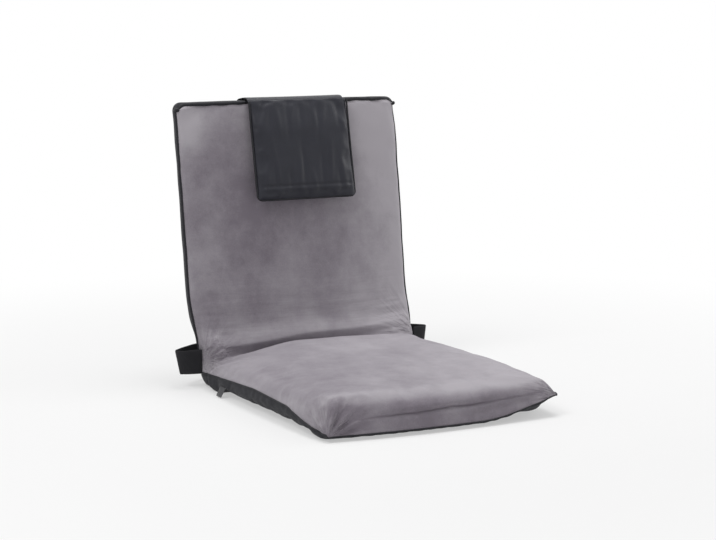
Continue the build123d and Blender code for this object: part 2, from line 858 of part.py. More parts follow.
tape_offset = (zip_tape_width + zip_tape_gap) / 2
with BuildPart() as zip_tape:
    with BuildSketch(lying_plane(back_frame, back_rear_height)):
        with Locations((0, zip_distance + tape_offset), (0, zip_distance - tape_offset)):
            Rectangle(zip_length, zip_tape_width)
    extrude(amount=zip_tape_thickness)
finish(zip_tape, "zip_tape")

coil_top = back_rear_height - zip_tape_thickness - zip_coil_height
with BuildPart() as zip_coil:
    with BuildSketch(lying_plane(back_frame, back_rear_height - zip_tape_thickness)):
        with Locations((0, zip_distance)):
            Rectangle(zip_length - slider_length, zip_coil_width)
    extrude(amount=zip_coil_height)
finish(zip_coil, "zip_coil")

slider_x = zip_length / 2 - slider_margin
slider_top = coil_top - slider_clearance - slider_wall
tunnel_width = zip_coil_width + 2 * slider_clearance
with BuildPart() as zip_slider:
    with BuildSketch(lying_plane(back_frame, slider_top + slider_wall)):
        with Locations((slider_x, zip_distance)):
            RectangleRounded(slider_length, slider_width, slider_corner)
    extrude(amount=slider_wall)
    flange_low = back_rear_height - zip_tape_thickness - slider_clearance
    with BuildSketch(lying_plane(back_frame, flange_low)):
        with Locations((slider_x, zip_distance)):
            RectangleRounded(slider_length, slider_width, slider_corner)
            Rectangle(2 * slider_length, tunnel_width, mode=Mode.SUBTRACT)
    extrude(amount=flange_low - slider_top - slider_wall)
finish(zip_slider, "zip_slider")
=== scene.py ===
# %% [markdown]
# # A padded folding floor chair
# The chair has no legs. A seat pad and a back pad, each on a bent tube frame, meet at a
# ratchet hinge. The metal comes from the CAD frame and is only given its finish here. The
# soft parts are made here, because cloth needs shapes that solids can't give: one skin of
# fabric that runs from the seat's front edge, through the crease, and up to the top.

# %% Load the frame
import bmesh
import bpy
import json
import math
import numpy as np
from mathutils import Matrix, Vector, noise


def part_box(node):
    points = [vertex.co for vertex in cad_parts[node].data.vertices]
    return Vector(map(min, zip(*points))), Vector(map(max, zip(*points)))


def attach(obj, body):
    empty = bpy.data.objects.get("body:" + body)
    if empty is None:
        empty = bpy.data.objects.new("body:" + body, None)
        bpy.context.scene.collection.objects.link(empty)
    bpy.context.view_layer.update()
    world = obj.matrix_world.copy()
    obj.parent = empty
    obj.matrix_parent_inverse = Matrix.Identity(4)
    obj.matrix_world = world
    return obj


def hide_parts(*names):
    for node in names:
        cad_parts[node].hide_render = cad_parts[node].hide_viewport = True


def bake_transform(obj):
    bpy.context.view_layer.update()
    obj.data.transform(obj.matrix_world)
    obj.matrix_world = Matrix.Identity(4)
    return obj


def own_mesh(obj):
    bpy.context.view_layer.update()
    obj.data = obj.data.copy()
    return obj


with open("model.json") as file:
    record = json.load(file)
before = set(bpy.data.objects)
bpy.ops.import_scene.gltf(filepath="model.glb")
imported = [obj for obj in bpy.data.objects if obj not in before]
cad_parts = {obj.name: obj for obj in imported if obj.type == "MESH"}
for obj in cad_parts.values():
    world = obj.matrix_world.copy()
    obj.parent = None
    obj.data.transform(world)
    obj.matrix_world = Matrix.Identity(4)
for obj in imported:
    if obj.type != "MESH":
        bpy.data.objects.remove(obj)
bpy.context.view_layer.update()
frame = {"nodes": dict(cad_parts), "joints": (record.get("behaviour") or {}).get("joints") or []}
nodes = frame["nodes"]
joints = {joint["name"]: joint for joint in frame["joints"]}
print("CAD nodes:", len(nodes), "joints:", sorted(joints))

# %% [markdown]
# ## Sizes
# Everything is placed from the frame: the hinge axis, the lean of the back and the pads'
# ends are read from it, in metres. Lengths along a pad are measured from the hinge axis.

# %% Sizes read from the frame
hinge_y, hinge_z = joints["backrest_fold"]["pos_m"][1:]
up_y, up_z = joints["headrest_lift"]["axis"][1:]
pad_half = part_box("seat_top_cover")[1].x
seat_reach = hinge_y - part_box("seat_top_cover")[0].y
back_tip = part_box("back_rear_cover")[1]
back_reach = (back_tip.y - hinge_y) * up_y + (back_tip.z - hinge_z) * up_z
back_reach = round(back_reach, 3)
MM = 0.001
print("hinge", hinge_y, hinge_z, "half width", pad_half, "seat", seat_reach, "back", back_reach)

# %% [markdown]
# ## Camera
# The camera stands low and a little to one side, far enough back that the lines stay
# nearly parallel, as in a catalogue picture.

# %% Camera
camera_azimuth = math.radians(-27.7)
camera_elevation = math.radians(8.44)
camera_distance = 3.517
camera_target = Vector((0.0439, hinge_y - 0.1023, 0.2047))
camera_back = Vector((
    math.sin(camera_azimuth) * math.cos(camera_elevation),
    -math.cos(camera_azimuth) * math.cos(camera_elevation),
    math.sin(camera_elevation),
))
camera_data = bpy.data.cameras.new("camera")
camera_data.lens = 99.6
camera = bpy.data.objects.new("camera", camera_data)
camera.location = camera_target + camera_back * camera_distance
camera.rotation_mode = "QUATERNION"
camera.rotation_quaternion = (-camera_back).to_track_quat("-Z", "Y")
bpy.context.scene.collection.objects.link(camera)
bpy.context.scene.camera = camera
bpy.context.scene.view_settings.view_transform = "Standard"
print("camera at, m:", [round(value, 2) for value in camera.location])

# %% [markdown]
# ## Shader helper
# A material is a few sums of noises and masks. This class wraps a socket, so that a sum is
# written as plain Python and adds its own Math nodes.

# %% Sockets that can be added and multiplied


class Wire:
    """A socket that Python's operators turn into Math nodes."""

    def __init__(self, tree, socket):
        self.tree = tree
        self.socket = socket

    def math(self, operation, first, second=0.0):
        node = self.tree.nodes.new("ShaderNodeMath")
        node.operation = operation
        for place, value in zip(node.inputs, (first, second)):
            if isinstance(value, Wire):
                self.tree.links.new(value.socket, place)
            else:
                place.default_value = value
        return Wire(self.tree, node.outputs[0])

    def __add__(self, other):
        return self.math("ADD", self, other)

    def __radd__(self, other):
        return self.math("ADD", other, self)

    def __sub__(self, other):
        return self.math("SUBTRACT", self, other)

    def __rsub__(self, other):
        return self.math("SUBTRACT", other, self)

    def __mul__(self, other):
        return self.math("MULTIPLY", self, other)

    def __rmul__(self, other):
        return self.math("MULTIPLY", other, self)


print("operators that add a Math node: + - *")

# %% A material with short ways to feed it


class Finish:
    """A material with one Principled shader, and short ways to feed it."""

    def __init__(self, name, **constants):
        self.material = bpy.data.materials.new(name)
        self.material.use_nodes = True
        self.tree = self.material.node_tree
        self.shader = self.tree.nodes["Principled BSDF"]
        for socket, value in constants.items():
            self.shader.inputs[socket.replace("_", " ")].default_value = value

    def node(self, kind, settings=None, inputs=None, output=0):
        made = self.tree.nodes.new(kind)
        for key, value in (settings or {}).items():
            setattr(made, key, value)
        for key, value in (inputs or {}).items():
            if isinstance(value, Wire):
                self.tree.links.new(value.socket, made.inputs[key])
            else:
                made.inputs[key].default_value = value
        return Wire(self.tree, made.outputs[output])

    def point(self):
        """Object coordinates."""
        return self.node("ShaderNodeTexCoord", output="Object")

    def place(self, scale=(1, 1, 1)):
        """Object coordinates, stretched by scale."""
        return self.node("ShaderNodeMapping", inputs={"Vector": self.point(), "Scale": scale})

    def noise(self, scale, detail=3.0, rough=0.55, stretch=(1, 1, 1)):
        inputs = {"Vector": self.place(stretch), "Scale": scale, "Detail": detail}
        return self.node("ShaderNodeTexNoise", inputs={**inputs, "Roughness": rough})

    def wave(self, scale, direction):
        """Ribs across one direction."""
        settings = {"wave_type": "BANDS", "bands_direction": direction}
        inputs = {"Vector": self.place(), "Scale": scale}
        return self.node("ShaderNodeTexWave", settings, inputs, output="Fac")

    def ramp(self, value, low, high):
        """0 at the value low, 1 at the value high, even between them and level beyond."""
        inputs = {"Value": value, "From Min": low, "From Max": high}
        return self.node("ShaderNodeMapRange", inputs=inputs)

    def mix(self, amount, low, high):
        """A colour between two colours."""
        made = self.node("ShaderNodeMix", {"data_type": "RGBA"}, output=2).socket.node
        for place, value in ((0, amount), (6, low), (7, high)):
            if isinstance(value, Wire):
                self.tree.links.new(value.socket, made.inputs[place])
            elif place:
                made.inputs[place].default_value = (*value, 1.0)
            else:
                made.inputs[place].default_value = value
        return Wire(self.tree, made.outputs[2])

    def feed(self, socket, wire):
        self.tree.links.new(wire.socket, self.shader.inputs[socket])

    def bump(self, height, strength, distance):
        inputs = {"Height": height, "Strength": strength, "Distance": distance}
        self.feed("Normal", self.node("ShaderNodeBump", inputs=inputs))

    def follow(self, pattern, dark, light, rough, change, strength, distance):
        """Colour, roughness and bump that all follow one pattern."""
        self.feed("Base Color", self.mix(pattern, dark, light))
        self.feed("Roughness", rough + change * pattern)
        self.bump(pattern, strength, distance)


print("ways to feed a material:", [way for way in vars(Finish) if not way.startswith("_")])

# %% [markdown]
# ## Fabrics
# The grey cover is a suede-like knit: matt, with a short nap that is lighter where it has
# been stroked one way, so its colour drifts in soft patches. Painted highlights and painted
# shade are laid into its colour too, where the light falls and in the creases. The black
# parts are plain woven cloth, and the head pad is a smooth cloth with a soft gloss along its folds.

# %% Fine creases that a mesh is too coarse for, as bump and as painted shade


def gathered(finish, centre, reach):
    """Fine creases that radiate from a point where the cloth is drawn in."""
    vector_math = "ShaderNodeVectorMath"
    away = finish.node(vector_math, {"operation": "SUBTRACT"}, {0: finish.point(), 1: centre})
    rays = finish.node(vector_math, {"operation": "NORMALIZE"}, {0: away})
    distance = finish.node(vector_math, {"operation": "LENGTH"}, {0: away}, output=1)
    inputs = {"Vector": rays, "Scale": 5.5, "Detail": 2.5, "Roughness": 0.6}
    creases = finish.node("ShaderNodeTexNoise", inputs=inputs) - 0.5
    near = finish.ramp(distance, reach, reach * 0.25)
    return creases * near * finish.ramp(distance, 0.004, 0.025)


def level_creases(finish):
    """Long level creases on the back, just above the fold."""
    height = finish.node("ShaderNodeSeparateXYZ", inputs={0: finish.point()}, output=2)
    creases = finish.noise(34.0, stretch=(0.16, 0.5, 1.5)) - 0.5
    return creases * finish.ramp(height, 0.062, 0.09) * finish.ramp(height, 0.25, 0.1)


def front_crease(finish):
    """The sharp part of the long fold across the front, as bump and as painted shade."""
    parts = finish.node("ShaderNodeSeparateXYZ", inputs={0: finish.point()})
    x, y, z = (Wire(finish.tree, output) for output in parts.socket.node.outputs)
    wander = finish.noise(22.0, detail=2.0) * 0.008 - 0.004
    apart = z - x * 0.026 - 0.0365 + wander
    line = finish.ramp(apart.math("ABSOLUTE", apart), 0.0035, 0.0)
    ends = finish.ramp(x, -0.17, -0.1) * finish.ramp(x, 0.2, 0.1)
    return line * line * finish.ramp(y, -0.218, -0.228) * ends


print("crease helpers ready")

# %% Grey nap
grey_nap = Finish("grey_nap", Roughness=0.85, Sheen_Weight=0.35, Sheen_Roughness=0.45)
grey_nap.shader.inputs["Specular IOR Level"].default_value = 0.2
grey_nap.shader.inputs["Sheen Tint"].default_value = (0.92, 0.9, 0.95, 1.0)
stroked = grey_nap.noise(9.0, detail=4.0, rough=0.6, stretch=(1.0, 0.7, 0.7))
fibres = grey_nap.noise(900.0, detail=2.0)
streaks = grey_nap.noise(70.0, detail=5.0, rough=0.7, stretch=(0.6, 0.6, 0.6))
# An attribute on the grey cover's points that holds painted highlights and painted shade.
brushed = grey_nap.node("ShaderNodeAttribute", {"attribute_name": "brushed"}, output="Fac")
nap_share = stroked * 0.62 + streaks * 0.26 + fibres * 0.28
drawn_in_at = {  # the crease's two ends and the two front corners, with each one's reach
    (-0.219, 0.236, 0.05): 0.09, (-0.212, -0.232, 0.008): 0.1,
    (0.222, 0.24, 0.058): 0.13, (0.216, -0.226, 0.03): 0.09,
}
# The creases shape the bump, and in the colour they are painted shade in their hollows and painted
# highlight on their ridges.
creases = sum(gathered(grey_nap, centre, reach) for centre, reach in drawn_in_at.items())
creases = creases * 2.6 + level_creases(grey_nap) * 0.9 - front_crease(grey_nap) * 0.7
# The colour mixes the nap's random patches with the painted highlights and painted shade.
nap_and_painted_light = grey_nap.ramp(nap_share + brushed * 0.2 + creases * 0.25, 0.38, 0.8)
grey_nap.feed("Base Color", grey_nap.mix(nap_and_painted_light, (0.205, 0.181, 0.212), (0.435, 0.409, 0.442)))
grey_nap.feed("Roughness", 0.92 - fibres * 0.18)
grey_nap.bump((fibres + streaks) * 0.03 + creases, 1.0, 0.0025)
print("grey nap:", len(grey_nap.tree.nodes), "nodes")

# %% Black weave


def woven(name, dark, light, thread, sheen, rough=0.75):
    """A plain weave: two crossed sets of fine ribs."""
    cloth = Finish(name, Roughness=rough, Sheen_Weight=sheen, Sheen_Roughness=0.4)
    cloth.shader.inputs["Specular IOR Level"].default_value = 0.3
    ribs = cloth.wave(thread, "X") * 0.5 + cloth.wave(thread, "Z") * 0.25
    ribs = ribs + cloth.wave(thread, "Y") * 0.25
    wear = cloth.noise(40.0, detail=5.0)
    cloth.feed("Base Color", cloth.mix(ribs * 0.5 + wear * 0.5, dark, light))
    cloth.feed("Roughness", rough + 0.2 * wear - 0.1)
    cloth.bump(ribs * 0.7 + wear * 0.3, 0.3, 0.0004)
    return cloth


black_weave = woven("black_weave", (0.01, 0.01, 0.013), (0.029, 0.029, 0.036), 260.0, 0.06)
head_cloth = woven("head_cloth", (0.0105, 0.011, 0.017), (0.025, 0.026, 0.037), 420.0, 0.1, 0.4)
webbing = woven("webbing", (0.008, 0.008, 0.01), (0.022, 0.022, 0.026), 160.0, 0.04)
piping_cloth = woven(
    "piping_cloth", (0.006, 0.006, 0.008), (0.018, 0.018, 0.023), 500.0, 0.05, 0.6)
tag_satin = woven("tag_satin", (0.03, 0.03, 0.034), (0.09, 0.09, 0.095), 500.0, 0.1, 0.45)
print("fabrics:", [m.name for m in bpy.data.materials])

# %% [markdown]
# ## The skin's two lines
# Seen from the side, the padded body has an upper line, towards the sitter, and a lower
# line. Both run from the seat's front edge to the top of the back. The upper line dips
# into the crease, lowest at the ends, where the cloth is drawn in over the hinges, and the
# lower line goes round behind them. A grid of points is laid between these lines, because
# then one smooth skin covers both pads. From here
# lengths are in millimetres, and each row of the grid is one station along the chair.

# %% Rows and columns of the skin
front_rows, seat_rows, back_rows, top_rows = 12, 80, 76, 9
crease_row = front_rows + seat_rows
top_row = crease_row + back_rows
last_row = top_row + top_rows
flat_columns, roll_columns = 40, 8
columns = flat_columns + 2 * roll_columns
row = np.arange(last_row + 1)[:, None]
across = np.linspace(-1, 1, columns + 1)[None, :]
flat_share = flat_columns / columns
top_share = (row[top_row:] - top_row) / top_rows  # 0 to 1 over the top edge
print("skin grid:", last_row, "rows by", columns, "columns")

# %% Sizes in millimetres
hinge_y_mm, hinge_z_mm = hinge_y / MM, hinge_z / MM
half = pad_half / MM
seat_length = seat_reach / MM
back_length = back_reach / MM
front_round = 30.0
top_start = back_length - 18.0
top_seam = back_length - 8.0
top_corner = 14  # radius of the back's upper corners
edge_power = 2 / 2.6  # a rounded edge is a superellipse, a little fuller than a circle
print("from the hinge axis, mm: seat", round(seat_length, 1), "back", round(back_length, 1))

# %% Smooth steps, and places on the back


def step(share):
    """A smooth step from 0 to 1."""
    share = np.clip(share, 0.0, 1.0)
    return share * share * (3 - 2 * share)


def hill(value, centre, width):
    """A smooth bump of height 1."""
    return np.exp(-(((value - centre) / width) ** 2))


def back_place(along, height):
    """Side-view place of a point on the back, given along it and out from the hinge axis."""
    y = hinge_y_mm + along * up_y - height * up_z
    return y, hinge_z_mm + along * up_z + height * up_y


def back_measures(y, z):
    """The other way round: along the back, and out from the hinge axis."""
    y, z = y - hinge_y_mm, z - hinge_z_mm
    return y * up_y + z * up_z, z * up_y - y * up_z


print("top of the back, y and z in mm:", [round(value) for value in back_place(back_length, 0)])

# %% Crease and front edge


def crease_place(x):
    """Y and height of the crease's bottom, which falls towards the sitter's right."""
    z = 55 - 12 * step((-x + 10) / 150) + 3 * step((x - 60) / 60)
    z = z + 3 * step((-x - 176) / 16) - step((x - 180) / 20)
    return hinge_y_mm - 5 - 19 * (x / half) ** 2 - 8 * step((-x - 150) / 30), z


def front_edge(x):
    """The front edge is bowed: how far it is from the hinge axis."""
    return seat_length - 18 * np.abs(x / half) ** 2.2


def front_seam(x):
    """Height of the seam along the front, which lifts at one corner."""
    return 7 + 23 * step((x - 60) / 165) + 5 * step((x - 175) / 45)


crease_heights = [round(float(crease_place(x)[1])) for x in (-200, 0, 200)]
print("crease height at -200, 0, 200:", crease_heights)

# %% Heights of the two pads


def seat_swell(along, x):
    """Height of the seat pad before it dips into the crease."""
    crown = 1 - np.clip(np.abs(x) / (half - 20), 0, 1) ** 2
    swell = np.sin(np.pi * np.clip(along / seat_length, 0, 1))
    low_end = 11 * step((-x - 40) / 110) * hill(along, 10, 75)
    plump = 8 * step((x - 40) / 130) * swell
    low_end = low_end + 8 * step((x - 165) / 55) * hill(along, seat_length, 45)
    return hinge_z_mm + 19 + 6 * swell * crown + 8 * hill(along, 50, 75) * crown + plump - low_end


def seat_height(along, x):
    far = seat_swell(along, x)
    y, z = crease_place(x)
    return far + (z - far) * np.clip(1 - (along - hinge_y_mm + y) / 34, 0, 1) ** 2.4


def back_height(along, x):
    crown = 1 - np.clip(np.abs(x) / (half - 18), 0, 1) ** 2
    swell = np.sin(np.pi * np.clip(along / back_length, 0, 1))
    roll_at = seat_swell(25, x) - hinge_z_mm + 3
    roll_wide = np.where(along < roll_at, 7, 24)
    roll_over = 14 * hill(along, roll_at, roll_wide) * (1 - step((np.abs(x) - 180) / 40))
    far = 4 + 6 * swell * crown + roll_over
    start, near = back_measures(*crease_place(x))
    reach = 12 + 38 * step((np.abs(x) - 160) / 45)
    return far + (near - far) * np.exp(-(((along - start) / reach) ** 2))


print("seat height half way back, mm:", round(float(seat_height(seat_length / 2, 0)), 1))

# %% Upper line


def share_of(first, count):
    """0 to 1 down the rows of one stretch of the skin, with closer rows near the crease."""
    share = (row[first:first + count] - first) / count
    if first == front_rows:
        return 1 - (1 - share) ** 1.25
    return share**1.25 if first == crease_row else share


def top_seam_at(x):
    """The top seam is rounded at its two corners."""
    beyond = np.clip(np.abs(x) - half + top_corner, 0, top_corner - 1)
    return top_seam - top_corner + np.sqrt(top_corner**2 - beyond**2)


def top_seam_drop(x):
    """The top seam lies a little behind the front face, and more so at its corners."""
    return 2.5 + np.where(x > 0, 11, 7) * step((np.abs(x) - half + 28) / 28)


def upper_line(x):
    """Side-view place of the upper line at every grid point; x is its place across."""
    turn = share_of(0, front_rows) * np.pi / 2
    here = x[:front_rows]
    top = seat_height(front_edge(here) - front_round, here)
    y1 = hinge_y_mm - front_edge(here) + front_round * (1 - np.cos(turn) ** edge_power)
    z1 = front_seam(here) + (top - front_seam(here)) * np.sin(turn) ** edge_power
    here = x[front_rows:crease_row]
    far = front_edge(here) - front_round
    near = hinge_y_mm - crease_place(here)[0]
    along = far + (near - far) * share_of(front_rows, seat_rows)
    y2, z2 = hinge_y_mm - along, seat_height(along, here)
    here = x[crease_row:top_row]
    start = back_measures(*crease_place(here))[0]
    along = start + (top_start - start) * share_of(crease_row, back_rows)
    y3, z3 = back_place(along, back_height(along, here))
    here = x[top_row:]
    along = top_start + (top_seam_at(here) - top_start) * top_share
    y4, z4 = back_place(along, back_height(along, here) - top_seam_drop(here) * top_share**2)
    y, z = np.concatenate((y1, y2, y3, y4)), np.concatenate((z1, z2, z3, z4))
    first, last = crease_row - 7, crease_row + 8
    for _ in range(14):
        for line in (y, z):
            around = line[first - 1:last - 1] + line[first + 1:last + 1]
            line[first:last] = (line[first:last] * 2 + around) / 4
    return y, z


straight = across * half + row * 0  # columns that don't narrow at the ends
upper = upper_line(straight)
print("upper line's height, mm:", upper[1].min().round(), "to", upper[1].max().round())

# %% Line behind the hinge


def rear_line(points):
    """A dense smooth line through the corner behind the hinge, with its running length."""
    points = np.array(points, float)
    run = np.concatenate(([0], np.cumsum(np.hypot(*np.diff(points, axis=0).T))))
    even = np.linspace(0, run[-1], int(run[-1] / 2))
    line = np.stack([np.interp(even, run, points[:, k]) for k in (0, 1)], axis=1)
    for _ in range(60):
        line[1:-1] = (line[:-2] + 2 * line[1:-1] + line[2:]) / 4
    return even, line


rear_start = 200  # from here on the lower line follows the two rear lines
rear_end = back_place(top_start, -38)
middle_line = rear_line([
    (rear_start, 0), (250, 0), (272, 3), (286, 20),
    back_place(8, -37.5), back_place(22, -38), rear_end,
])
end_line = rear_line([
    (rear_start, 0), (244, 0), (262, 6), (274, 22), (281, 50), (289, 75),
    back_place(72, -38), rear_end,
])
print("rear lines, mm long:", round(middle_line[0][-1]), "and", round(end_line[0][-1]))

# %% Underside
bend_centre, bend_radius = (148, -174), 55  # of the seat tube's two front bends
below_tube = 12.8  # a little under the tube's lowest line


def under_tube(x, inward):
    """Height that the cloth has to stay below, so that it wraps the bent frame tube."""
    y = inward + hinge_y_mm - front_edge(x)
    bend_x = np.maximum(np.abs(x) - bend_centre[0], 0)
    bend_y = np.maximum(bend_centre[1] - y, 0)
    beside_tube = np.hypot(bend_x, bend_y) - bend_radius
    return below_tube + 0.1 * beside_tube**2


def underside(x, inward):
    """Height of the underside, which is lifted at the side and more at one front corner."""
    seam = front_seam(x)
    near = np.clip(1 - inward / (30 + 5.5 * (seam - 7)), 0, 1) ** 1.5
    lift = 8 * step((-x - 140) / 70) * step((inward - 25) / 60)
    lift = lift + 12 * step((x - 100) / 110) * step((170 - inward) / 150)
    return np.minimum(seam * near + lift * (1 - near), under_tube(x, inward))


lifts = [round(float(underside(x, 60)), 1) for x in (-200, 0, 200)]
print("underside at -200, 0, 200, 60 mm in from the front, mm:", lifts)

# %% Lower line


def lower_line(x, upper_y):
    """Side-view place of the lower line, row by row beside the upper line."""
    side = step((np.abs(x) - 174) / 30)
    here = x[:front_rows]
    y1 = upper_y[:front_rows]
    z1 = underside(here, y1 - hinge_y_mm + front_edge(here))
    parts = [(y1, z1)]
    for first, count in ((front_rows, seat_rows), (crease_row, back_rows)):
        here = x[first:first + count]
        ways = []
        for even, line in (middle_line, end_line):
            turn = even[np.argmax(line[:, 1] > 14)]
            if first == front_rows:
                begin = hinge_y_mm - front_edge(here) + front_round - rear_start
                run = begin + (turn - begin) * share_of(first, count)
            else:
                run = turn + (even[-1] - turn) * share_of(first, count) + here * 0
            y = np.where(run < 0, rear_start + run, np.interp(run, even, line[:, 0]))
            ways.append((y, np.interp(run, even, line[:, 1])))
        y, z = (at_middle + (at_end - at_middle) * side[first:first + count]
                for at_middle, at_end in zip(*ways))
        if first == front_rows:
            lifted = underside(here, y - hinge_y_mm + front_edge(here))
            z = z + lifted * step((rear_start - y) / 60)
        parts.append((y, z))
    here = x[top_row:]
    power = 2 / 2.2
    turn = top_share * np.radians(158)
    along = top_start + 18 * np.abs(np.sin(turn)) ** power
    height = -17 - 21 * np.sign(np.cos(turn)) * np.abs(np.cos(turn)) ** power
    seam_height = back_height(top_seam_at(here), here) - top_seam_drop(here)
    along = along + (top_seam_at(here) - along) * step((top_share - 0.75) / 0.25)
    height = height + (seam_height - height) * step((top_share - 0.7) / 0.3)
    parts.append(back_place(along + here * 0, height))
    return tuple(np.concatenate([part[k] for part in parts]) for k in (0, 1))


lower = lower_line(straight, upper[0])
print("lower line's height, mm:", lower[1].min().round(), "to", lower[1].max().round())

# %% [markdown]
# ## The sides
# Each row is a section of the pad. The grey cloth lies over the top and rolls down to the
# seam, and the black cloth goes from the seam under the pad. The seam isn't straight: it
# is low at one front corner and higher along the sides, so its height is looked up.

# %% Width of each row


def half_width():
    """Half the width of each row: it narrows round the corners in plan."""
    inward = np.full(last_row + 1, 200.0)
    turn = share_of(0, front_rows)[:, 0] * np.pi / 2
    inward[:front_rows] = front_round * (1 - np.cos(turn) ** edge_power)
    inward[front_rows:crease_row] = front_round + 430 * share_of(front_rows, seat_rows)[:, 0]
    ahead = np.clip(1 - inward / 60, 0, 1)
    width = half + 1 - 7 * (1 - (1 - ahead**1.5) ** (1 / 1.5))
    beyond = np.sin(top_share[:, 0] * np.pi * 0.85) * (top_corner - 1)
    width[top_row:] = half - top_corner + 1 + np.sqrt(top_corner**2 - beyond**2)
    dip = hill(row[:, 0], crease_row + 2, 14)
    wider = 1.5 * step((row[:, 0] - crease_row - 20) / 30)
    return (width - 3 * dip + wider)[:, None]


def sideways(along):
    """How far the cloth of the back hangs to one side of its frame."""
    return -8 * step((along - 20) / 110) - 5 * step((along - 395) / 70) * (across > 0)


low_width = half_width()
width = np.where(row > top_row, low_width[top_row], low_width)
print("half width, mm:", low_width.min().round(1), "to", low_width.max().round(1))

# %% Roll of the cloth at the sides, and where the seam is
on_back = step((row - crease_row + 10) / 20)
roll = 22 - 4 * on_back + 10 * step((row - crease_row - 4) / 20) * (across > 0)
low_roll = 19 - 10 * on_back
turn = np.clip((np.abs(across) - flat_share) / (1 - flat_share), 0, 1) * np.pi / 2
flat = np.clip(across / flat_share, -1, 1)
# Height of the seat's side seam at each place from the front to the rear.
seat_seam_left = ([-500, -231, -146, -109, 14, 188, 260], [8, 9, 24, 34, 39, 30, 27])
seat_seam_right = ([-500, -231, -150, 14, 188, 260], [35, 35, 37, 39, 34, 30])


def section_share(upper, lower):
    """How far down the section the seam is, at each row and side."""
    y, z = upper
    heights = [np.interp(y, *table) for table in (seat_seam_left, seat_seam_right)]
    seam = np.where(across < 0, *heights)
    on_seat = np.clip((z - seam) / np.maximum(z - lower[1], 1), 0.1, 0.85)
    top_height = back_measures(*upper)[1]
    low_height = back_measures(*lower)[1]
    seam_at = np.where(across < 0, 5, 15)
    behind = np.clip((top_height + seam_at) / np.maximum(top_height - low_height, 1), 0.25, 0.7)
    behind = behind * (1 - step((row - top_row) / top_rows))
    return on_seat + (behind - on_seat) * on_back


def beside(upper, lower):
    """The lower line moved level with the upper one at the top, so the seam turns evenly."""
    along, out = back_measures(*lower)
    share = step((row - top_row + 8) / 8)
    return back_place(along + (back_measures(*upper)[0] - along) * share, out)


print("roll, mm: grey", roll.min(), "to", roll.max(), "black", low_roll.min(), "to", low_roll.max())

# %% Grid points of both cloths


def skin_points(below):
    """Grid points of the grey skin, or of the black one below the seam."""
    power = edge_power if below else 1.0
    inner = low_width - low_roll if below else width - roll
    x = np.sign(across) * (inner * np.abs(flat) + (width - inner) * np.sin(turn) ** power)
    upper = upper_line(x)
    lower = lower_line(x, upper[0])
    lower = lower if below else beside(upper, lower)
    seam = section_share(upper, lower)
    fall = 1 - np.cos(turn) ** power
    depth = 1 - (1 - seam) * fall if below else seam * fall
    y = upper[0] + (lower[0] - upper[0]) * depth
    z = upper[1] + (lower[1] - upper[1]) * depth
    return np.stack((x + sideways(back_measures(y, z)[0]), y, z), axis=2) * MM


grey_points, black_points = skin_points(False), skin_points(True)
for edge in (0, -1):
    black_points[edge] = grey_points[edge]
    black_points[:, edge] = grey_points[:, edge]
skin_box = [(end((0, 1)) / MM).round() for end in (grey_points.min, grey_points.max)]
print("skin box, mm:", *skin_box)

# %% Closed skin


def add_piece(name, bm, *finishes):
    """Makes an object of a bmesh and shades it smooth."""
    mesh = bpy.data.meshes.new(name)
    bm.to_mesh(mesh)
    bm.free()
    piece = bpy.data.objects.new(name, mesh)
    bpy.context.scene.collection.objects.link(piece)
    for finish in finishes:
        mesh.materials.append(finish.material)
    mesh.shade_smooth()
    return piece


def lay_grid(bm, points, material=0):
    """A grid made by the operator, each point moved to its place in the array."""
    rows, cols = points.shape[0] - 1, points.shape[1] - 1
    made = bmesh.ops.create_grid(bm, x_segments=cols, y_segments=rows, size=1.0)
    faces = set()
    for vert in made["verts"]:
        col = round((vert.co.x + 1) / 2 * cols)
        line = round((vert.co.y + 1) / 2 * rows)
        vert.co = points[line, col]
        faces.update(vert.link_faces)
    for face in faces:
        face.material_index = material
    return made["verts"]


bm = bmesh.new()
lay_grid(bm, grey_points)
lay_grid(bm, black_points, material=1)
bmesh.ops.remove_doubles(bm, verts=bm.verts, dist=0.02 * MM)
bmesh.ops.recalc_face_normals(bm, faces=bm.faces)
open_edges = sum(1 for edge in bm.edges if len(edge.link_faces) != 2)
skin = add_piece("skin", bm, grey_nap, black_weave)
print("closed skin:", len(skin.data.polygons), "faces,", open_edges, "open edges")

# %% [markdown]
# ## Puffing the pads
# Foam pushes the cloth outwards between its seams, so a real pad is never quite smooth.
# The cloth solver does this with a little pressure inside the closed skin, while the seam
# and the underside are pinned. How far a point may move is capped, so the chair keeps its
# size, and one subdivision then smooths the result.

# %% Points of a mesh


def points_of(mesh):
    found = np.empty(len(mesh.vertices) * 3)
    mesh.vertices.foreach_get("co", found)
    return found.reshape(-1, 3)


def move_points(mesh, points):
    mesh.vertices.foreach_set("co", points.ravel())
    mesh.update()


def measures(points):
    """In mm, each point's x, y and z, and its place along the back and out from it."""
    x, y, z = (points / MM).T
    return x, y, z, *back_measures(y, z)


print("points of the skin:", len(points_of(skin.data)))

# %% Cloth pressure
solver_frames = 20


def settle(piece):
    """Applies the piece's modifiers to its mesh."""
    found = piece.evaluated_get(bpy.context.evaluated_depsgraph_get())
    mesh = bpy.data.meshes.new_from_object(found)
    mesh.name = piece.data.name
    piece.modifiers.clear()
    piece.data = mesh
    mesh.shade_smooth()
    return piece


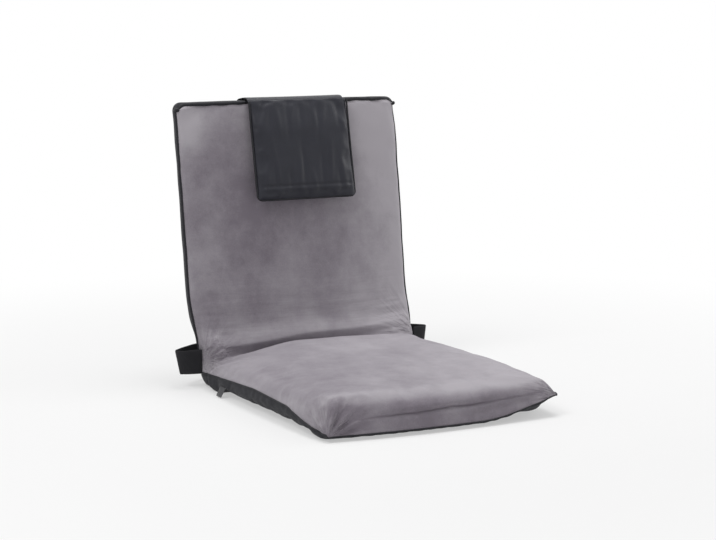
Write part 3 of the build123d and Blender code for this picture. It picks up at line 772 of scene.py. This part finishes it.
def puff(piece, held, cap, pressure=4.0, shrink=-0.02):
    """Runs the cloth solver on a closed piece, and keeps each point's move under its cap."""
    before = points_of(piece.data)
    group = piece.vertex_groups.new(name="held")
    for index, weight in enumerate(held):
        if weight > 0:
            group.add([index], float(weight), "REPLACE")
    cloth = piece.modifiers.new("cloth", "CLOTH")
    settings = {
        "vertex_group_mass": "held", "use_pressure": True, "uniform_pressure_force": pressure,
        "shrink_min": shrink, "quality": 4, "tension_stiffness": 12,
        "compression_stiffness": 12, "bending_stiffness": 0.4,
    }
    for setting, value in settings.items():
        setattr(cloth.settings, setting, value)
    cloth.settings.effector_weights.gravity = 0
    cloth.collision_settings.use_collision = False
    cloth.point_cache.frame_start = 1
    cloth.point_cache.frame_end = solver_frames
    for frame_number in range(1, solver_frames + 1):
        bpy.context.scene.frame_set(frame_number)
    settle(piece)
    bpy.context.scene.frame_set(1)
    move = points_of(piece.data) - before
    size = np.linalg.norm(move, axis=1)[:, None]
    move = move * np.tanh(size / cap) * cap / np.maximum(size, 1e-9)
    move_points(piece.data, before + move)
    piece.vertex_groups.clear()
    print(piece.name, "moved at most", round(float(size.max()) / MM, 1), "mm before the cap")


print("frames that the cloth solver runs:", solver_frames)

# %% Puff the skin and smooth it


def smooth_once(piece):
    """One subdivision, applied to the mesh."""
    smooth = piece.modifiers.new("smooth", "SUBSURF")
    smooth.levels = smooth.render_levels = 1
    return settle(piece)


mesh_points = points_of(skin.data)
neighbours = [set() for _ in mesh_points]
for face in skin.data.polygons:
    for index in face.vertices:
        neighbours[index].add(face.material_index)
seam_hold = np.array([1.0 if len(found) > 1 else 0.0 for found in neighbours])
_, _, z, along, _ = measures(mesh_points)
low = np.clip(1 - (z - 1) / 6, 0, 1)
seat_cap, back_cap = 5, 1.6
cap = seat_cap + (back_cap - seat_cap) * step((along - 20) / 60)
puff(skin, np.maximum(seam_hold, low), cap[:, None] * MM)
smooth_once(skin)
print("skin:", len(skin.data.polygons), "faces")

# %% [markdown]
# ## Folds
# The creases that catch the light are pushed into the skin along its normals, as one would
# with a sculpting brush: a long soft fold across the front, short ones that radiate from
# the front corner, gathers where the cloth is drawn into the crease's ends, and a slow
# waviness everywhere. Each is a small function of the place, so it has one clear cause.

# %% One fold, and a fan of folds


def fold(x, y, start, end, wide, deep, ends=0.35):
    """A long bump along the line from start to end, in whatever two measures are given."""
    start, end = np.array(start, float), np.array(end, float)
    line = end - start
    length = np.hypot(*line)
    along = ((x - start[0]) * line[0] + (y - start[1]) * line[1]) / length**2
    aside = ((x - start[0]) * line[1] - (y - start[1]) * line[0]) / length
    fade = step((along + 0.05) / ends) * step((1.05 - along) / ends)
    return deep * np.exp(-((aside / wide) ** 2)) * fade


def fan(x, y, centre, reach, folds, wide=3.8):
    """Folds that spread from one point, each with its angle and its depth."""
    total = 0
    for lean, deep in folds:
        way = math.radians(lean)
        end = (centre[0] + reach[0] * math.cos(way), centre[1] + reach[1] * math.sin(way))
        total = total + fold(x, y, centre, end, wide, deep, 0.5)
    return total


def wavy(points, scale, seed):
    """Smooth noise from -1 to 1 at each point."""
    shift = Vector((seed * 7.3, seed * 3.1, seed * 5.7))
    return np.array([noise.noise(Vector(p) * scale + shift) for p in points])


middle_of_fold = fold(50, 0, (0, 0), (100, 0), wide=4, deep=2.0)
print("a fold 2 mm deep stands up at its middle by, mm:", round(float(middle_of_fold), 2))

# %% Sculpt the folds
corner_folds = ((14, -3.38), (25, 2.6), (36, -3.64), (48, 2.73), (60, -3.12), (73, 2.34),
                (86, -2.08))
side_folds = ((12, 2.0), (26, -2.6), (40, 2.4), (55, -2.4), (70, 2.0))
hinge_folds = ((-78, 2.6), (-62, -2.4), (-46, 2.6), (-31, -2.4), (-17, 2.2), (-4, -2.0))


def sculpt_skin(points):
    """How far each point is pushed out along its normal."""
    x, y, z, along, out = measures(points)
    push = np.zeros(len(points))
    front = step((hinge_y_mm - front_edge(x) + 45 - y) / 30) * step((z - 6) / 10)
    push += front * fold(x, z, (-150, 33), (125, 40), 4, -3.6)
    push += front * fold(x, z, (-140, 41), (120, 48), 6, 2.0)
    push += front * fold(x, z, (20, 20), (190, 38), 5, -2.2)
    push += front * fan(x, z, (-212, 8), (62, 52), corner_folds)
    left_side = step((-x - 196) / 18)
    push += left_side * fan(y, z, (-238, 4), (66, 58), side_folds)
    for k in range(7):
        at = -205 + 22 * k
        push += left_side * fold(y, z, (at - 6, 14 + 3 * k), (at + 12, 60), 4, 1.3 * (-1) ** k)
    in_front = y - hinge_y_mm
    push += step((74 - z) / 10) * fan(x, in_front, (-219, -16), (74, 74), hinge_folds, 3.6)
    drawn_in = step((80 - z) / 14)
    push += drawn_in * fold(x, in_front, (-224, -30), (-160, -10), 4.2, -3.4, 0.3)
    push += drawn_in * fold(x, in_front, (226, -26), (168, -8), 4.2, -3.0, 0.3)
    for k in range(6):
        start, end = (204 - 11 * k, -40 - 3 * (k % 2)), (190 - 15 * k, 4)
        push += drawn_in * fold(x, in_front, start, end, 3.4, 1.4 * (-1) ** k * (1 - k / 9))
    standing = step((along - 4) / 14) * step((out + 14) / 12)
    for k in range(6):
        start, end = (226, 22 + 15 * k), (118 - 16 * (k % 3), 12 + 13 * k + 4 * (k % 2))
        push += standing * fold(x, along, start, end, 3.6, 1.5 * (-1) ** k * (1 - k / 8), 0.5)
    for k in range(5):
        start, end = (-226, 30 + 17 * k), (-150 + 12 * (k % 3), 26 + 19 * k)
        push += standing * fold(x, along, start, end, 4.0, 1.1 * (-1) ** k * (1 - k / 8), 0.5)
    slow = wavy(points, 9.0, 1.0) * 1.4 + wavy(points, 26.0, 2.0) * 0.7
    return (push + slow * step((z - 3) / 12)) * MM


def push_along_normals(piece, amounts):
    normals = np.array([vert.normal for vert in piece.data.vertices])
    move_points(piece.data, points_of(piece.data) + normals * amounts[:, None])


push_along_normals(skin, sculpt_skin(points_of(skin.data)))
print("skin after folds, mm:", (points_of(skin.data).max(0) / MM).round(1))

# %% Flatten the skin where it rests
tape_half, tape_low, tape_high = 182, 26, 68  # the zip tape's place on the back
tape_rest = -37.4
floor_gap = 0.3


def flatten_where_it_rests(piece):
    """The cloth lies flat under the zip's tape and on the floor."""
    points = points_of(piece.data)
    x, y, z, along, out = measures(points)
    flat_here = step((along - tape_low) / 5) * step((tape_high - along) / 5)
    flat_here = flat_here * step((tape_half - np.abs(x)) / 10)
    out = out + np.maximum(tape_rest - out, 0) * flat_here
    points[:, 1], points[:, 2] = (value * MM for value in back_place(along, out))
    points[:, 2] = np.maximum(points[:, 2], floor_gap * MM)
    move_points(piece.data, points)


flatten_where_it_rests(skin)
print("lowest point, mm:", round(float(points_of(skin.data)[:, 2].min()) / MM, 2))

# %% [markdown]
# ## Covers and piping
# The closed skin is cut into its two cloths along the seam. They stay two pieces, as they
# are on the real chair. Piping runs along the whole seam, thin on the seat and thicker round the
# back:
# a cord in a folded strip of black cloth, made here as a curve with a round section.

# %% Cut the skin into its two cloths


def cloth_of(name, source, index, finish):
    """The faces of the source that have one material, as a piece of their own."""
    bm = bmesh.new()
    bm.from_mesh(source.data)
    other = [face for face in bm.faces if face.material_index != index]
    bmesh.ops.delete(bm, geom=other, context="FACES")
    for face in bm.faces:
        face.material_index = 0
    return add_piece(name, bm, finish)


def seam_loop(source):
    """The seam's points in order, as one closed loop."""
    bm = bmesh.new()
    bm.from_mesh(source.data)
    links = {}
    for edge in bm.edges:
        if len({face.material_index for face in edge.link_faces}) > 1:
            for vert in edge.verts:
                links.setdefault(vert, []).append(edge.other_vert(vert))
    start = min(links, key=lambda vert: vert.co.y)
    loop, last = [start], None
    while len(loop) <= len(links):
        options = [vert for vert in links[loop[-1]] if vert is not last and vert is not start]
        if not options:
            break
        last = loop[-1]
        loop.append(options[0])
    found = [(vert.co.copy(), vert.normal.copy()) for vert in loop]
    bm.free()
    return found


loop = seam_loop(skin)
grey_cover = cloth_of("grey_cover", skin, 0, grey_nap)
black_cover = cloth_of("black_cover", skin, 1, black_weave)
bpy.data.objects.remove(skin)
faces = [len(cover.data.polygons) for cover in (grey_cover, black_cover)]
print("faces of the covers:", faces, "seam points", len(loop))

# %% Where highlights and shade are painted on the grey cloth


def brushed_share(points):
    """Painted light on the grey cloth: above 0 a painted highlight, below 0 painted shade."""
    x, y, z, along, _ = measures(points)
    on_back = step((along - 10) / 40)
    # On the back: painted shade over its middle and upper left, painted highlights at its left top
    # edge, its right side, its top and the roll just above the crease.
    share = -0.55 * hill(x, -30, 120) * hill(along, 220, 190)
    share -= 0.3 * hill(x, -175, 60) * hill(along, 300, 90)
    share -= 0.7 * hill(x, -150, 60) * hill(along, 330, 110)
    share += 1.1 * hill(x, -205, 22) * hill(along, 425, 55) + 1.5 * hill(x, 190, 85)
    share += 0.5 * hill(along, 430, 40) + 0.4 * hill(along, 48, 14)
    # On the seat: a painted highlight along the front shoulder and over its right part, painted
    # shade on its left and on the front face.
    shoulder = hill(y, hinge_y_mm - front_edge(x) + 38, 16) * step((z - 48) / 10)
    on_seat = 0.1 + 0.85 * shoulder + 0.4 * hill(x, 150, 90) * step((z - 48) / 10)
    on_seat -= 0.3 * hill(x, -190, 70) * step((z - 40) / 10)
    on_seat -= 0.7 * step((hinge_y_mm - front_edge(x) + 22 - y) / 12)
    return on_seat + (share - on_seat) * on_back


values = brushed_share(points_of(grey_cover.data))
layer = grey_cover.data.attributes.new("brushed", "FLOAT", "POINT")
layer.data.foreach_set("value", values.astype(np.float32))
print("nap from", round(float(values.min()), 2), "to", round(float(values.max()), 2))

# %% Cords made from curves


def new_curve(name, kind, points):
    """A curve with one spline of the given kind through the points."""
    curve = bpy.data.curves.new(name, "CURVE")
    curve.dimensions = "3D"
    spline = curve.splines.new(kind)
    spline.points.add(len(points) - 1)
    for place, point in zip(spline.points, points):
        place.co = (*point, 1.0)
    return curve, spline


def mesh_of(curve):
    """The mesh that Blender makes of a curve."""
    holder = bpy.data.objects.new(curve.name, curve)
    mesh = bpy.data.meshes.new_from_object(holder)
    bpy.data.objects.remove(holder)
    return mesh


def cord_through(name, points, radii, finish, closed=False):
    """A round cord through the points, as thick as radii says at each."""
    curve, line = new_curve(name, "POLY", points)
    curve.bevel_depth = 1.0
    curve.bevel_resolution = 3
    curve.use_fill_caps = True
    line.points.foreach_set("radius", radii)
    line.use_cyclic_u = closed
    mesh = mesh_of(curve)
    mesh.materials.clear()
    mesh.materials.append(finish.material)
    mesh.shade_smooth()
    made = bpy.data.objects.new(name, mesh)
    bpy.context.scene.collection.objects.link(made)
    return made


print("helpers for cords ready")

# %% Piping along the seam


def seam_radius(place):
    """The piping is thin along the seat and thicker round the back."""
    along = back_measures(place.y / MM, place.z / MM)[0]
    on_seat, more_on_back, more_at_top = 1.1, 1.5, 0.9
    radius = on_seat + more_on_back * step(along / 60)
    return float(radius + more_at_top * step((along - back_length + 30) / 16)) * MM


piping = cord_through(
    "piping",
    [place + normal * 0.7 * MM for place, normal in loop],
    [seam_radius(place) for place, normal in loop],
    piping_cloth, closed=True,
)
print("piping:", len(loop), "points,", len(piping.data.polygons), "faces")

# %% [markdown]
# ## Head pad
# The head pad hangs over the top edge: a flat stuffed cushion in front, and a plain flap
# behind that hook and loop strips hold. Its sides are pulled in by the seam, so it starts
# as a rounded slab, the cloth solver fills it, and the loose cloth falls in upright folds.

# %% Pad form
pad_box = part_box("headrest_cover")
pad_half_width = pad_box[1].x / MM
pad_low, pad_high = back_length - 186, back_length - 4
pad_rear, pad_thick = 11.2, 18.5  # its rear face's distance from the hinge axis, outwards
pad_length = pad_high - pad_low


def pad_tilt(along):
    """The lower end of the pad hangs a little clear of the back."""
    return 11 * ((pad_high - along) / pad_length) ** 1.3


def upright_edges(bm):
    return [edge for edge in bm.edges if abs(edge.verts[0].co.z - edge.verts[1].co.z) > 1]


bm = bmesh.new()
bmesh.ops.create_cube(bm, size=2.0)
upright = upright_edges(bm)
level = [edge for edge in bm.edges if edge not in upright]
bmesh.ops.subdivide_edges(bm, edges=level, cuts=38, use_grid_fill=True)
bmesh.ops.subdivide_edges(bm, edges=upright_edges(bm), cuts=4, use_grid_fill=True)
for vert in bm.verts:
    u, v, t = vert.co
    rim_u, rim_v = ((1 - min(abs(share), 1) ** 7) ** (1 / 3) for share in (u, v))
    upper_thin = 1 - 0.45 * float(step((v - 0.35) / 0.65))
    thick = (0.16 + 0.84 * rim_u * max(rim_v, 0.6 if v > 0 else 0.0)) * pad_thick * upper_thin
    wide = pad_half_width * (1 - 0.012 * (1 - v * v)) - 1.5
    along = (pad_low + pad_high) / 2 + v * (pad_length / 2 - 1.5)
    middle = pad_rear + pad_thick * 0.42 * upper_thin
    out = max(middle + t * thick / 2, pad_rear) + pad_tilt(along)
    y, z = back_place(along, out)
    vert.co = Vector((u * wide, float(y), float(z))) * MM
bmesh.ops.recalc_face_normals(bm, faces=bm.faces)
head_pad = add_piece("head_pad", bm, head_cloth)
print("head pad:", len(head_pad.data.polygons), "faces")

# %% Fill the head pad
x, _, _, along, out = measures(points_of(head_pad.data))
rim = (np.abs(x) > pad_half_width - 3) | (along < pad_low + 3) | (along > pad_high - 4)
behind = out < pad_rear + pad_tilt(along) + 0.5
puff(head_pad, np.maximum(rim * 1.0, behind * 0.9), 2.2 * MM, pressure=5.0, shrink=-0.03)
smooth_once(head_pad)
print("head pad, filled and smoothed:", len(head_pad.data.polygons), "faces")

# %% Fold the head pad
pad_points = points_of(head_pad.data)
x, _, _, along, out = measures(pad_points)
facing = step((out - pad_rear - pad_tilt(along) - 6) / 6)
push = np.zeros(len(x))
for k in range(11):
    at = -84 + 16.5 * k + 4 * math.sin(2.3 * k)
    lean = 10 * math.sin(1.7 * k + 1)
    deep = (1.3 + 0.5 * math.sin(3.1 * k)) * (-1) ** k
    end = (at + lean, pad_low + 60 + 60 * (k % 3) / 2)
    push += fold(x, along, (at, pad_low + 6), end, 4.2, deep, 0.5)
    end = (at - lean, pad_high - 50 - 12 * (k % 4))
    push += fold(x, along, (at + 6, pad_high - 2), end, 4.8, deep * 0.8, 0.5)
stitched = 0.8 * hill(along, pad_low + 19, 3.0) - 1.6 * hill(along, pad_low + 25, 2.0)
push += stitched * step((pad_half_width - 6 - np.abs(x)) / 6)
push += wavy(pad_points, 16.0, 4.0) * 1.1 + wavy(pad_points, 45.0, 5.0) * 0.35
push_along_normals(head_pad, push * facing * MM)
print("head pad across, mm:", round(x.min()), "to", round(x.max()))

# %% Piping of the head pad
rim_out = pad_rear + 0.42 * pad_thick


def point_on_back(x_at, along_at, out_at):
    y, z = back_place(along_at, out_at)
    return Vector((x_at, float(y), float(z))) * MM


def rim_point(x_at, along_at):
    return point_on_back(x_at, along_at, rim_out + pad_tilt(along_at))


corner = 9.0
side = pad_half_width - 0.4
down_side = np.linspace(pad_high - 4, pad_low + corner, 40)
path = [rim_point(-side, along_at) for along_at in down_side]
for way in np.radians(np.linspace(0, 90, 9)[1:]):
    path.append(rim_point(
        -side + corner * (1 - math.cos(way)), pad_low + 1 + corner * (1 - math.sin(way))))
mirror = [Vector((-point.x, point.y, point.z)) for point in reversed(path)]
bottom = [path[-1].lerp(mirror[0], share) for share in np.linspace(0, 1, 40)[1:-1]]
path = path + bottom + mirror
head_piping = cord_through("head_piping", path, [1.9 * MM] * len(path), piping_cloth)
print("head piping:", len(path), "points")

# %% [markdown]
# ## Flap, strap and tag
# The flap is one layer of cloth over the top edge. The strap is stiff webbing, sewn in at
# both sides and passing behind the back, and the tag is a folded bit of bare ribbon. None
# of them is stuffed, so each is a grid laid along its line and given its thickness.

# %% Sheets laid along a line


def smooth_line(points, count):
    """An even line through a NURBS spline's points, and its length."""
    curve, spline = new_curve("line", "NURBS", points)
    curve.resolution_u = 24
    spline.order_u = 3
    spline.use_endpoint_u = True
    found = points_of(mesh_of(curve))
    run = np.concatenate(([0], np.cumsum(np.linalg.norm(np.diff(found, axis=0), axis=1))))
    even = np.linspace(0, run[-1], count)
    return np.stack([np.interp(even, run, found[:, k]) for k in range(3)], axis=1), run[-1]


def band(name, grid_points, thickness, finish):
    """A sheet through a grid of points, thickened and finished with one subdivision."""
    bm = bmesh.new()
    lay_grid(bm, grid_points)
    bmesh.ops.recalc_face_normals(bm, faces=bm.faces)
    piece = add_piece(name, bm, finish)
    wall = piece.modifiers.new("wall", "SOLIDIFY")
    wall.thickness = thickness
    wall.offset = 0.0
    return smooth_once(settle(piece))


print("helpers for sheets ready")

# %% Flap over the top edge
flap_route = [  # past the back's upper end, and out from the hinge axis
    (-10, 14), (-3.5, 12), (1.5, 4), (2.5, -20), (1.5, -40), (-18, -44.5), (-60, -43),
    (-108, -43),
]
flap_rows, flap_columns = 64, 45
flap_line, flap_length = smooth_line(
    [point_on_back(0, back_length + past, out_at) for past, out_at in flap_route], flap_rows)
flap_half = 96.0
share = np.linspace(-1, 1, flap_columns)
flap_points = np.zeros((flap_rows, flap_columns, 3))
for k, point in enumerate(flap_line):
    down = k / (flap_rows - 1)
    narrow = flap_half - 3 * step((down - 0.9) / 0.1)
    flap_points[k, :, 0] = (share * narrow - 2 * hill(down, 0.1, 0.2)) * MM
    flap_points[k, :, 1] = point[1] + 0.5 * MM * np.sin(share * 9 + 1.5) * step((down - 0.3) / 0.3)
    flap_points[k, :, 2] = point[2] - 0.5 * MM * (1 - share**2) * hill(down, 0.15, 0.12)
flap = band("head_flap", flap_points, 1.6 * MM, head_cloth)
print("flap length, mm:", round(flap_length / MM))

# %% Webbing strap
strap_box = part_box("carry_strap")
strap_x, strap_low, strap_high = strap_box[1].x / MM, strap_box[0].z / MM, strap_box[1].z / MM
strap_rear = strap_box[1].y / MM
strap_middle, strap_half = (strap_low + strap_high) / 2, (strap_high - strap_low) / 2
sewn = hinge_y_mm - 3
strap_route = [
    (half - 4, sewn), (half + 14, sewn + 1), (strap_x - 4, sewn + 5), (strap_x - 1, sewn + 11),
    (strap_x - 8, sewn + 18), (half + 8, sewn + 36), (half - 14, strap_rear - 16),
    (half - 60, strap_rear - 3), (90, strap_rear - 3), (30, strap_rear - 1),
]
strap_route = strap_route + [(-x_at, y_at) for x_at, y_at in reversed(strap_route)]
strap_rows, strap_columns = 240, 9
strap_line, strap_length = smooth_line(
    [Vector((x_at, y_at, strap_middle)) * MM for x_at, y_at in strap_route], strap_rows)
height = np.linspace(-1, 1, strap_columns) * strap_half * 0.97
strap_points = np.zeros((strap_rows, strap_columns, 3))
for k, point in enumerate(strap_line):
    x_at = point[0] / MM
    way = strap_line[min(k + 1, strap_rows - 1)] - strap_line[max(k - 1, 0)]
    aside = np.array((way[1], -way[0], 0)) / np.hypot(way[0], way[1])
    tilt = 0.12 * math.sin(point[0] * 14) + 0.16 * hill(abs(x_at), strap_x, 30)
    droop = 11 * step((abs(x_at) - 120) / 90) + 5 * step(x_at / 200)
    shift = ((-9 if x_at > 0 else -7) * step((abs(x_at) - 205) / 30), 0, 0)
    strap_points[k] = point + (aside * (height * math.sin(tilt))[:, None] + shift) * MM
    strap_points[k, :, 2] = point[2] + (height * math.cos(tilt) + droop) * MM
strap = band("webbing_strap", strap_points, 2.0 * MM, webbing)
print("strap length, mm:", round(strap_length / MM))

# %% Bare tag
tag_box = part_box("side_tag")
tag_outer, tag_inner = (end.x / MM for end in tag_box)
tag_front, tag_back = (end.y / MM for end in tag_box)
tag_route = [(tag_inner + 3, 19.5), (tag_inner - 1.5, 18), (tag_inner - 4, 12),
             (tag_outer + 3, 6), (tag_outer + 1, 1.8)]
tag_rows, tag_columns = 16, 13
tag_line, tag_length = smooth_line([Vector((a, 0, b)) * MM for a, b in tag_route], tag_rows)
tag_points = np.zeros((tag_rows, tag_columns, 3))
for k, point in enumerate(tag_line):
    tag_points[k] = point
    ends = (tag_front + 1, tag_back - 1 + 0.1 * k)
    tag_points[k, :, 1] = np.linspace(*ends, tag_columns) * MM
    tag_points[k, :, 0] += 0.5 * MM * np.sin(np.linspace(0, 4, tag_columns) + k * 0.2)
tag = band("ribbon_tag", tag_points, 0.7 * MM, tag_satin)
print("tag length, mm:", round(tag_length / MM, 1))

# %% [markdown]
# ## Zip teeth
# A zip's two rows of teeth mesh with each other. One tooth is a small bevelled block, and
# an Array modifier repeats it along the tape, because so many copies need no more than that.

# %% Moulded nylon
nylon = Finish("zip_nylon", Roughness=0.4)
nylon_colours = (0.01, 0.01, 0.012), (0.045, 0.045, 0.05)
nylon.follow(nylon.wave(110.0, "X"), *nylon_colours, 0.5, -0.2, 0.6, 0.0006)
print("nylon:", len(nylon.tree.nodes), "nodes")

# %% Teeth
coil_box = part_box("zip_coil")
coil_end = coil_box[1].x / MM
pitch = 1.8
tooth_count = int((2 * coil_end - 2) / pitch)
tooth_size = (1.1, 2.6, 1.4)
zip_along, tape_face, tooth_stand = 45, -38.8, -0.8


def tooth_row(name, aside, start):
    """One row of teeth, each reaching across the zip's middle line."""
    bm = bmesh.new()
    made = bmesh.ops.create_cube(bm, size=1.0)
    bmesh.ops.scale(bm, vec=tooth_size, verts=made["verts"])
    edges = [edge for edge in bm.edges if abs(edge.verts[0].co.x - edge.verts[1].co.x) > 0.5]
    bmesh.ops.bevel(
        bm, geom=edges, offset=0.35, segments=1, affect="EDGES", profile=0.5, material=-1)
    for vert in bm.verts:
        out_at = tape_face + tooth_stand - vert.co.z
        vert.co = point_on_back(vert.co.x + start, zip_along + aside + vert.co.y, out_at)
    bmesh.ops.recalc_face_normals(bm, faces=bm.faces)
    row_piece = add_piece(name, bm, nylon)
    copies = row_piece.modifiers.new("row", "ARRAY")
    copies.use_relative_offset = False
    copies.use_constant_offset = True
    copies.constant_offset_displace = (pitch * MM, 0, 0)
    copies.count = tooth_count
    settle(row_piece)
    row_piece.data.shade_flat()
    return row_piece


teeth_upper = tooth_row("zip_teeth_upper", 0.75, -coil_end + 1)
teeth_lower = tooth_row("zip_teeth_lower", -0.75, -coil_end + 1 + pitch / 2)
print("teeth in each row:", tooth_count)

# %% [markdown]
# ## Metal, zip and hook-and-loop
# The hinge, the tubes and the zip's slider keep their CAD shapes, which are exact, and get
# finishes: zinc plating with a fine grain, dark spring steel, powder coat and pile.

# %% Plated and coated metal


def plated(name, dark, light, rough):
    metal = Finish(name, Metallic=1.0, Roughness=rough)
    grain = metal.noise(300.0, detail=4.0, stretch=(1.0, 1.0, 0.15))
    cloud = metal.noise(45.0, detail=3.0)
    metal.feed("Base Color", metal.mix(grain * 0.5 + cloud * 0.5, dark, light))
    metal.feed("Roughness", rough - 0.08 + 0.2 * cloud)
    metal.bump(grain, 0.12, 0.0002)
    return metal


zinc = plated("zinc_plate", (0.52, 0.53, 0.55), (0.7, 0.71, 0.72), 0.32)
stamped = plated("stamped_steel", (0.45, 0.45, 0.44), (0.64, 0.64, 0.62), 0.38)
spring = plated("spring_steel", (0.2, 0.21, 0.25), (0.36, 0.37, 0.42), 0.3)

powder = Finish("powder_coat", Roughness=0.42, Coat_Weight=0.15)
orange_peel = powder.noise(700.0, detail=2.0)
coated = powder.mix(powder.noise(60.0), (0.018, 0.018, 0.02), (0.03, 0.03, 0.033))
powder.feed("Base Color", coated)
powder.feed("Roughness", 0.36 + 0.16 * orange_peel)
powder.bump(orange_peel, 0.2, 0.0002)
print("metals:", [metal.material.name for metal in (zinc, stamped, spring, powder)])

# %% Pile and foam
pile = Finish("hook_and_loop", Roughness=0.95, Sheen_Weight=0.3)
tufts = pile.noise(1100.0, detail=2.0)
pile.follow(tufts, (0.01, 0.01, 0.012), (0.05, 0.05, 0.055), 1.0, -0.1, 0.7, 0.0008)

foam = Finish("open_foam", Roughness=0.95)
cells = foam.node(
    "ShaderNodeTexVoronoi", inputs={"Vector": foam.place(), "Scale": 700.0}, output="Distance")
foam.follow(cells, (0.6, 0.55, 0.42), (0.85, 0.82, 0.7), 0.9, 0.1, 0.6, 0.0008)
print("soft inside:", [soft.material.name for soft in (pile, foam)])

# %% Give each CAD node its finish
finish_words = (
    (foam, ("foam",)),
    (pile, ("strip",)),
    (zinc, ("rivet", "pin", "zip_slider")),
    (spring, ("spring",)),
    (powder, ("tube", "crossbar")),
    (nylon, ("zip_coil",)),
    (black_weave, ("zip_tape", "cover", "panel", "gusset", "boot")),
    (webbing, ("flap", "strap", "tag")),
)


def finish_for(node):
    """The first finish that has one of its words in the node's name."""
    for finish, words in finish_words:
        if any(word in node for word in words):
            return finish
    return stamped


for node, cad_piece in nodes.items():
    chosen = finish_for(node).material
    if not cad_piece.material_slots:
        cad_piece.data.materials.append(chosen)
    for place in cad_piece.material_slots:
        place.material = chosen
print("finished CAD nodes:", len(nodes))

# %% [markdown]
# ## What moves with what
# The covers and the piping are baked in place. The strap can't follow the hinge as a solid,
# so it rides on the back, and the rest ride on their bodies.

# %% Bodies
for cover in (grey_cover, black_cover, piping):
    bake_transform(cover)
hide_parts("seat_top_cover", "back_front_cover", "crease_panel", "seat_foam_upper",
            "back_foam_front")
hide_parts("seat_base_cover", "back_rear_cover", "rear_gusset", "hinge_boot_left",
            "hinge_boot_right", "seat_foam_lower", "back_foam_rear")
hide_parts("seat_piping")
for piece in (head_pad, head_piping, flap):
    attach(piece, "headrest")
pad_plane = [value * MM for value in (0, *map(float, back_place(0, 9)))]
for piece in (head_pad, head_piping):
    -up_z
    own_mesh(piece)
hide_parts("headrest_cover", "headrest_foam")
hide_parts("headrest_flap")
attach(strap, "backrest")
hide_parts("carry_strap")
-up_z
[v * MM for v in (0, *map(float, back_place(0, -36)))]
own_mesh(strap)
for teeth in (teeth_upper, teeth_lower):
    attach(teeth, "backrest")
    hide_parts("zip_coil")
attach(tag, "seat")
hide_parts("side_tag")
print("placed on bodies")

# %% [markdown]
# ## Floor and light
# A wide pale floor and even light from large soft lamps, as on a plain sweep. The white
# behind the chair is only what the camera sees, so it adds no light to the chair.

# %% Floor


def white_to_camera(tree, shader_output, white_node, amount=1.0):
    """Shows plain white to the camera and in gloss, and the given shader to other rays."""
    path = tree.nodes.new("ShaderNodeLightPath")
    white = tree.nodes.new(white_node)
    white.inputs["Color"].default_value = (1, 1, 1, 1)
    white.inputs["Strength"].default_value = 1.0
    seen = Wire(tree, path.outputs["Is Camera Ray"]) + Wire(tree, path.outputs["Is Glossy Ray"])
    seen = seen.math("MINIMUM", seen + Wire(tree, path.outputs["Is Transmission Ray"]), 1.0)
    mix = tree.nodes.new("ShaderNodeMixShader")
    seen = seen * amount
    tree.links.new(seen.socket, mix.inputs[0])
    tree.links.new(shader_output, mix.inputs[1])
    tree.links.new(white.outputs[0], mix.inputs[2])
    return mix.outputs[0]


bm = bmesh.new()
bmesh.ops.create_grid(bm, x_segments=4, y_segments=4, size=8.0)
floor_finish = Finish("pale_floor", Roughness=0.9)
pale = floor_finish.mix(floor_finish.noise(3.0), (0.86, 0.86, 0.86), (0.88, 0.88, 0.88))
floor_finish.feed("Base Color", pale)
spread = floor_finish.node(
    "ShaderNodeVectorMath", {"operation": "LENGTH"}, {0: floor_finish.place()}, output="Value")
far_away = floor_finish.node(
    "ShaderNodeMapRange", {"interpolation_type": "SMOOTHSTEP"},
    {"Value": spread, "From Min": 0.5, "From Max": 1.6, "To Min": 0.45, "To Max": 1.0},
)
floor_output = floor_finish.tree.nodes["Material Output"]
floor_shown = white_to_camera(
    floor_finish.tree, floor_finish.shader.outputs[0], "ShaderNodeEmission", far_away)
floor_finish.tree.links.new(floor_shown, floor_output.inputs["Surface"])
floor = add_piece("floor", bm, floor_finish)
print("floor, m across:", round(floor.dimensions.x, 1))

# %% World and lamps
world = bpy.data.worlds.new("studio")
bpy.context.scene.world = world
world.use_nodes = True
fill = world.node_tree.nodes["Background"]
fill.inputs["Color"].default_value = (1, 1, 1, 1)
fill.inputs["Strength"].default_value = 0.4
world_output = world.node_tree.nodes["World Output"]
shown = white_to_camera(world.node_tree, fill.outputs[0], "ShaderNodeBackground")
world.node_tree.links.new(shown, world_output.inputs["Surface"])


def lamp(name, place, size, power):
    """A square lamp that faces the middle of the chair."""
    data = bpy.data.lights.new(name, "AREA")
    data.size = size
    data.energy = power
    made = bpy.data.objects.new(name, data)
    made.location = place
    made.rotation_mode = "QUATERNION"
    made.rotation_quaternion = (Vector((0, 0.1, 0.2)) - Vector(place)).to_track_quat("-Z", "Y")
    bpy.context.scene.collection.objects.link(made)


lamp("key", (-1.8, -0.4, 2.6), 1.2, 24)
lamp("side", (2.2, -0.2, 1.4), 1.4, 9)
lamp("top", (0.3, 0.5, 2.8), 1.4, 34)
print("lamps:", [light.name for light in bpy.data.lights])
